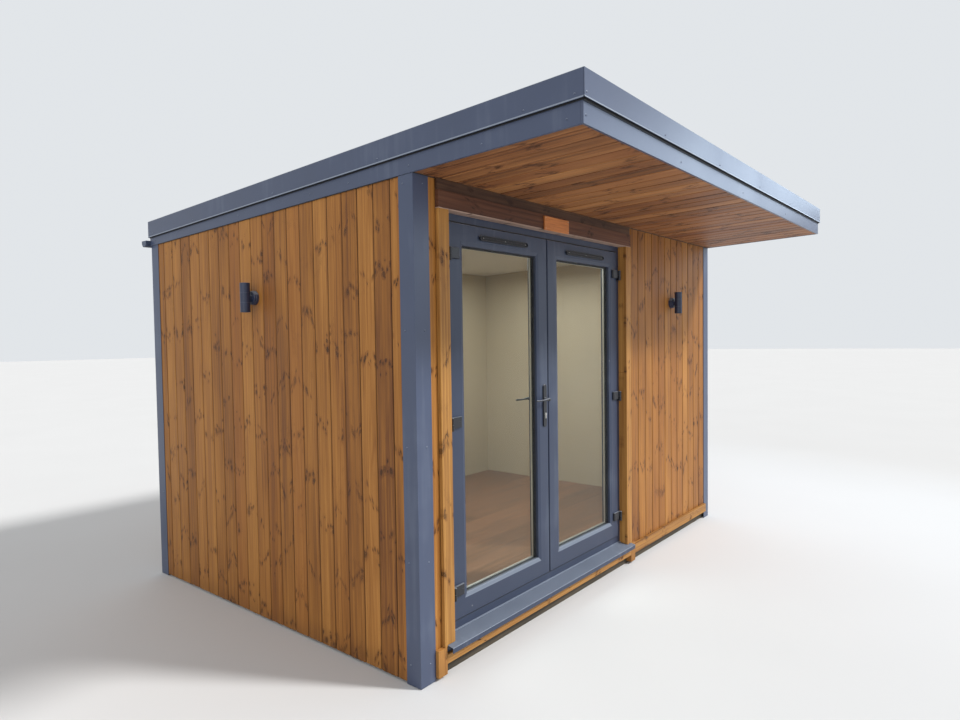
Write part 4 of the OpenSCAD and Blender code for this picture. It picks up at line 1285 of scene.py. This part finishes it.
class POD_OT_vents(bpy.types.Operator):
    """Slim vents on the top members of the leaves"""
    bl_idname = "pod.vents"
    bl_label = "Vents"

    def execute(self, context):
        rim, deep = 3.4, 11
        for body, leaf in LEAVES.items():
            side = leaf["nodes"]
            low, high = span(side + "_door_vent")
            middle = (low.z + high.z) / 2
            half = (high.z - low.z) / 2
            front, back = high.y - deep, high.y - 3
            origin = at(low.x, high.y, middle)
            out = (X, Z, -Y)
            ends = ((high.x - low.x - half, -math.pi / 2), (half, math.pi / 2))

            def arc(end, radius):
                """Half of a circle round one end of the vent."""
                centre, turn = end
                angles = [turn + math.pi * k / 10 for k in range(11)]
                return [(centre + radius * math.cos(t), radius * math.sin(t)) for t in angles]

            # A plate with rounded ends and a raised rim, and a ridge between two dark slots
            maker = Maker(seed=131)
            maker.prism(arc(ends[0], half) + arc(ends[1], half), origin, out, 0, 4, 0.8)
            for end in ends:
                maker.prism(arc(end, half) + arc(end, half - rim)[::-1], origin, out, 3, deep, 0.8)
            for foot, top, inset, bevel in (
                    (-half, rim - half, 0, 0.8), (half - rim, half, 0, 0.8), (-2.3, 2.3, 6, 1.8)):
                maker.box(
                    (low.x + half + inset, front, middle + foot),
                    (high.x - half - inset, back, middle + top), bevel, along=0)
            maker.piece(side + "_vent_grille", fitting("vent"), body, "vent_plastic", (side + "_door_vent",))
            maker = Maker(seed=132)
            maker.prism(arc(ends[0], half - rim) + arc(ends[1], half - rim), origin, out, 4, 5.2, 0.2)
            maker.piece(side + "_vent_slots", rubber_seal("seal"), body, "vent_plastic")
            maker = Maker(seed=133)
            for x in (low.x + half + 12, (low.x + high.x) / 2, high.x - half - 12):
                screw(maker, x, front + 0.6, middle, -Y, 6.0)
            maker.piece(side + "_vent_screws", bare_metal("steel"), body, "hinge_metal")
        return {"FINISHED"}


class POD_OT_hinges(bpy.types.Operator):
    """Flag hinges with covers, knuckles and screw caps"""
    bl_idname = "pod.hinges"
    bl_label = "Hinges"

    def execute(self, context):
        tall, foot = 32, 20
        frame_maker = Maker(seed=141)
        for body, leaf in LEAVES.items():
            hand = leaf["hand"]
            axes = (X * hand, Y, Z)
            pin = PIVOTS[body]
            back = FRAME_LOW.y - pin.y
            face = leaf["box"][0].y - pin.y
            leaf_maker = Maker(seed=142)
            for z in (350, 1158, 1960):
                centre = at(pin.x, pin.y, z)
                # Frame half: lower knuckle, pin, plate and raised cover
                frame_maker.lathe([
                    (0, -tall), (6.6, -tall), (8, 1.4 - tall), (8, -2.4), (7.2, -1.2), (0, -1.2)], centre, Z)
                frame_maker.lathe([(0, -2), (3.9, -2), (3.9, tall - 2), (0, tall - 2)], centre, Z, sides=20)
                plate = [(-32, back - 4), (-2, back - 4), (-2, back), (-32, back)]
                frame_maker.prism(plate[::hand], centre, axes, -tall, -1.2, 1.0)
                cover = [(-28, 12), (-22, 6), (-8, 4), (-2, 7), (-2, back - 3), (-28, back - 3)]
                frame_maker.prism(cover[::hand], centre, axes, 1 - tall, -1.4, 1.2)
                # Leaf half: upper knuckle, neck and a cover with one screw cap on the leaf
                leaf_maker.lathe([(4.1, 0), (8, 0), (8, tall - 1.6), (6.6, tall), (4.1, tall)], centre, Z)
                neck = [(3.5, 2), (13.5, 2), (13.5, face), (3.5, face)]
                leaf_maker.prism(neck[::hand], centre, axes, 0.5, tall - 0.5, 0.8)
                cover = [(13, face), (13, 6), (17, 3.6), (71, 3.6), (78, 9), (78, face)]
                leaf_maker.prism(cover[::hand], centre, axes, -foot, tall, 1.8, 3)
                cap = centre + (X * hand * 60 + Y * 3.7 + Z * 6) * MM
                leaf_maker.lathe([(0, 0.6), (4.6, 0.6), (5, 0)], cap, -Y, sides=20)
            side = leaf["nodes"]
            leaf_maker.piece(
                side + "_hinge_flags", fitting("hinge"), body, "hinge_metal", (side + "_door_hinges",))
        frame_maker.piece("hinge_frame_plates", fitting("hinge"), "pod", "hinge_metal", ("frame_hinges",))
        return {"FINISHED"}


class POD_OT_handle(bpy.types.Operator):
    """Back plates, key barrels and the lever on both faces"""
    bl_idname = "pod.handle"
    bl_label = "Lever handle"

    def execute(self, context):
        spindle = PIVOTS["lever"]
        low, high = LEAVES["left_leaf"]["box"]
        half, foot, top = 15, -155, 85
        outline = []
        for centre, turn in ((top - half, 0), (foot + half, math.pi)):
            angles = [turn + math.pi * k / 12 for k in range(13)]
            outline += [(half * math.cos(t), centre + half * math.sin(t)) for t in angles]
        plates, barrels, levers = (Maker(seed=number) for number in (151, 152, 153))
        for face, out in ((low.y, -Y), (high.y, Y)):
            base = at(spindle.x, face, spindle.z)
            axes = (X, Z, out)
            plates.prism(outline[::-int(out.y)], base, axes, 0, 8.2, 1.6, 3)
            plates.lathe([(12.5, 7.5), (12.5, 9.0), (11.4, 10), (9.8, 10), (9.8, 7.5)], base, out)
            pin = [(4.2, 8.0), (4.0, 8.9), (2.6, 9.2), (2.2, 8.4), (0, 8.4)]
            for z in (-137, 67):
                plates.lathe(pin, base + Z * z * MM, out, sides=18)
            # Key barrel with its slot below
            barrel = [(8.4, 7.5), (8.4, 12.6), (7.6, 13.6), (0, 13.6)]
            barrels.lathe(barrel, base - Z * 83 * MM, out, sides=28)
            barrels.prism([(-5, -107), (5, -107), (5, -85), (-5, -85)], base, axes, 7.5, 13.0, 0.9)
            neck = [(8.6, -2), (8.6, 24), (8.9, 30), (9.6, 35), (9.0, 40), (6.5, 41.7), (0, 42)]
            levers.lathe(neck, base, out, sides=28)
            levers.sweep(base, [self.grip(base, out, k / 16) for k in range(17)])
        levers.box(
            (spindle.x - 4, low.y, spindle.z - 4), (spindle.x + 4, high.y, spindle.z + 4), 0.6, along=1)
        plates.piece("handle_back_plates", fitting("handle"), "left_leaf", "handle_metal", ("handle_plates",))
        barrels.piece("key_barrels", bare_metal("steel"), "left_leaf", "hinge_metal")
        levers.piece("lever_grips", fitting("handle"), "lever", "handle_metal", ("lever_handle",))
        return {"FINISHED"}

    def grip(self, base, out, t):
        """A section of the lever's grip, which bows a little and flattens towards its end at t = 1."""
        bow = math.sin(math.pi * t)
        wide = 7.6 - 3.4 * min(1, t * 2.2) + 0.9 * max(0, t - 0.6) * 2.5
        deep = 5.2 - 1.2 * t
        if t == 1:
            wide, deep = wide * 0.7, deep * 0.6
        along, proud, rise = -4 - 120.5 * t, 36.6 - 2.0 * bow - 1.5 * t, 1.0 - 1.4 * bow
        middle = base + (X * along + out * proud + Z * rise) * MM
        angles = [2 * math.pi * n / 20 for n in range(20)]
        return [middle + (Z * wide * math.cos(a) + out * deep * math.sin(a)) * MM for a in angles]


class POD_OT_wall_lights(bpy.types.Operator):
    """Up and down cylinder lights"""
    bl_idname = "pod.wall_lights"
    bl_label = "Wall lights"

    def execute(self, context):
        radius, back, ledge = 27, 61, 26.2
        for side, out in (("left", -X), ("front", -Y)):
            low, high = span(side + "_wall_light")
            half = (high.z - low.z) / 2
            middle = (low + high) / 2
            if side == "left":
                centre = at(low.x + radius, middle.y, middle.z)
            else:
                centre = at(middle.x, low.y + radius, middle.z)
            rim = [(23.2, half - 9), (23.2, half), (ledge, half), (radius, half - 0.8)]
            groove = []
            for level in (26, -26):
                groove += [
                    (radius, level + 1.2), (ledge, level + 0.6),
                    (ledge, level - 0.6), (radius, level - 1.2)]
            foot = [(r, -h) for r, h in rim[::-1]]
            body = Maker(seed=161)
            body.lathe(rim + groove + foot, centre, Z, sides=48)
            # Arm and round back against the boards
            arm = [(0, 20), (20, 20), (20, 30), (24, 32), (24, back - radius), (0, back - radius)]
            body.lathe(arm, centre, -out, sides=40)
            near = back - radius - 0.5
            rose = [
                (0, near), (34, near), (37, back - 25), (37, back - 15),
                (39, back - 13), (39, back), (0, back)]
            body.lathe(rose, centre, -out, sides=48)
            body.piece(side + "_light_body", fitting("light"), "pod", "light_body", (side + "_wall_light",))
            glass = [(0, half - 9), (15, half - 8), (23.4, half - 8.5), (23.4, half - 12), (0, half - 12)]
            lens = Maker(seed=162)
            for way in (Z, -Z):
                lens.lathe(glass, centre, way, sides=40)
            lens.piece(side + "_light_lenses", lamp_lens("frosted"), "pod", "glass")
        return {"FINISHED"}


class POD_OT_inside(bpy.types.Operator):
    """Finishes for the core, the linings and the floor, which keep their CAD shapes"""
    bl_idname = "pod.inside"
    bl_label = "Core, linings and floor"

    def execute(self, context):
        for node in ("left_wall", "right_wall", "back_wall", "front_wall_left", "front_wall_right",
                     "front_wall_head", "floor_base", "roof_panel"):
            dress(node, insulated_board("core"))
        dress("ground_bearers", sawn_timber("bearer"))
        dress("floor_deck", floor_plank("room"))
        dress("wall_linings", lining("wall"))
        dress("ceiling_lining", lining("ceiling"))
        return {"FINISHED"}


class POD_OT_stage(bpy.types.Operator):
    """Pale floor, soft lights and the camera at the photograph's viewing angle"""
    bl_idname = "pod.stage"
    bl_label = "Floor, lights and camera"

    def execute(self, context):
        context.scene.view_settings.view_transform = "Standard"
        self.floor()
        self.lights()
        self.sky(context.scene)
        self.camera(context.scene)
        return {"FINISHED"}

    def floor(self):
        """A wide pale floor at ground level."""
        mesh = bpy.data.meshes.new("pale_floor")
        shape = bmesh.new()
        bmesh.ops.create_circle(shape, cap_ends=True, segments=96, radius=60)
        shape.to_mesh(mesh)
        shape.free()
        obj = add_object("pale_floor", mesh)
        g = Graph("floor_paint")
        tint = g.mix(g.noise(g.place(), 0.8, 3.0), (0.655, 0.65, 0.64), (0.685, 0.68, 0.67))
        mesh.materials.append(g.finish(base_color=tint, roughness=0.9, specular_ior_level=0.2))

    def lights(self):
        """A high soft key from the front right, a broad fill from the front left and two panels."""
        for name, way, power, spread in (
                ("key", (0.52, -0.86, 0.88), 3.0, 8),
                ("fill", (-0.95, -0.32, 0.45), 0.76, 50),
                ("rim", (0.5, 0.9, 0.7), 0.35, 60)):
            lamp = bpy.data.lights.new(name, "SUN")
            lamp.energy, lamp.angle = power, math.radians(spread)
            self.aim(add_object(name, lamp), Vector(way))
        # A panel inside the room, and one at the right that gleams in the front metalwork
        for name, width, power, tint, place, target in (
                ("room", 2.4, 38, (1, 1, 1), at(1750, 1200, 2150), at(1750, 1200, 0)),
                ("gleam", 7.5, 92, (0.68, 0.83, 1.0), at(5700, -2300, 3500), at(1765, -849, 2350))):
            panel = bpy.data.lights.new(name, "AREA")
            panel.shape, panel.size, panel.size_y = "RECTANGLE", width, 1.2
            panel.energy, panel.color = power, tint
            obj = add_object(name, panel)
            obj.location = place
            self.aim(obj, place - target)

    def aim(self, obj, way):
        """Turns a light so that it shines against a direction."""
        obj.rotation_euler = way.to_track_quat("Z", "Y").to_euler()

    def sky(self, scene):
        """An even sky, which shows paler to the camera, in reflections and through glass."""
        g = Graph("even_sky", world=True)
        direct, mirrored, through = g.parts(
            g.node("ShaderNodeLightPath"), ("Is Camera Ray", "Is Glossy Ray", "Is Transmission Ray"))
        seen = g.function("MAXIMUM", g.function("MAXIMUM", direct, mirrored), through)
        light, shown = (
            g.node("ShaderNodeBackground", {}, {"Color": tint, "Strength": strength})
            for tint, strength in (((0.93, 0.96, 1.0), 0.52), ((0.80, 0.83, 0.86), 0.95)))
        scene.world = g.close(g.node("ShaderNodeMixShader", {}, {0: seen, 1: light, 2: shown}))

    def camera(self, scene):
        """The photograph's camera, fitted to the pod's edges."""
        yaw, pitch, roll = (math.radians(v) for v in (50.957, -2.163, -0.802))
        forward = Vector((math.sin(yaw) * math.cos(pitch), math.cos(yaw) * math.cos(pitch), math.sin(pitch)))
        level = Vector((math.cos(yaw), -math.sin(yaw), 0))
        above = level.cross(forward)
        right = level * math.cos(roll) + above * math.sin(roll)
        up = above * math.cos(roll) - level * math.sin(roll)
        lens = bpy.data.cameras.new("photo_view")
        lens.sensor_fit, lens.sensor_width, lens.lens = "HORIZONTAL", 36, 24.749
        scene.camera = add_object("photo_view", lens)
        turn = Matrix((right, up, -forward)).transposed().to_4x4()
        scene.camera.matrix_world = Matrix.Translation(at(-2060.0, -2033.4, 1577.6)) @ turn


class POD_PT_panel(bpy.types.Panel):
    """Lists the pod's sizes, colours and pieces"""
    bl_label = "Garden Office Pod"
    bl_idname = "POD_PT_panel"
    bl_space_type = "VIEW_3D"
    bl_region_type = "UI"
    bl_category = "Garden Office"

    def draw(self, context):
        layout = self.layout
        for group in (context.scene.pod_sizes, context.scene.pod_colours):
            box = layout.box()
            for key in group.__annotations__:
                box.prop(group, key)
        for step in STEPS:
            layout.operator(step.bl_idname)


STEPS = (
    POD_OT_stage, POD_OT_cladding, POD_OT_soffit, POD_OT_surround, POD_OT_corner_trims,
    POD_OT_roof_edges, POD_OT_roof, POD_OT_gutter, POD_OT_screws, POD_OT_door_frame,
    POD_OT_door_leaves, POD_OT_vents, POD_OT_hinges, POD_OT_handle, POD_OT_wall_lights, POD_OT_inside,
)
CLASSES = (PodSizes, PodColours, *STEPS, POD_PT_panel)


def register():
    """Adds the add-on's classes and its two groups of settings."""
    for cls in CLASSES:
        bpy.utils.register_class(cls)
    bpy.types.Scene.pod_sizes = bpy.props.PointerProperty(type=PodSizes)
    bpy.types.Scene.pod_colours = bpy.props.PointerProperty(type=PodColours)


def unregister():
    """Takes out what register adds, in the opposite order."""
    del bpy.types.Scene.pod_colours
    del bpy.types.Scene.pod_sizes
    for cls in reversed(CLASSES):
        bpy.utils.unregister_class(cls)


def main():
    """Makes every piece in order."""
    register()
    for step in STEPS:
        group, name = step.bl_idname.split(".")
        getattr(getattr(bpy.ops, group), name)()
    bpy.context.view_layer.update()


if __name__ == "__main__":
    main()
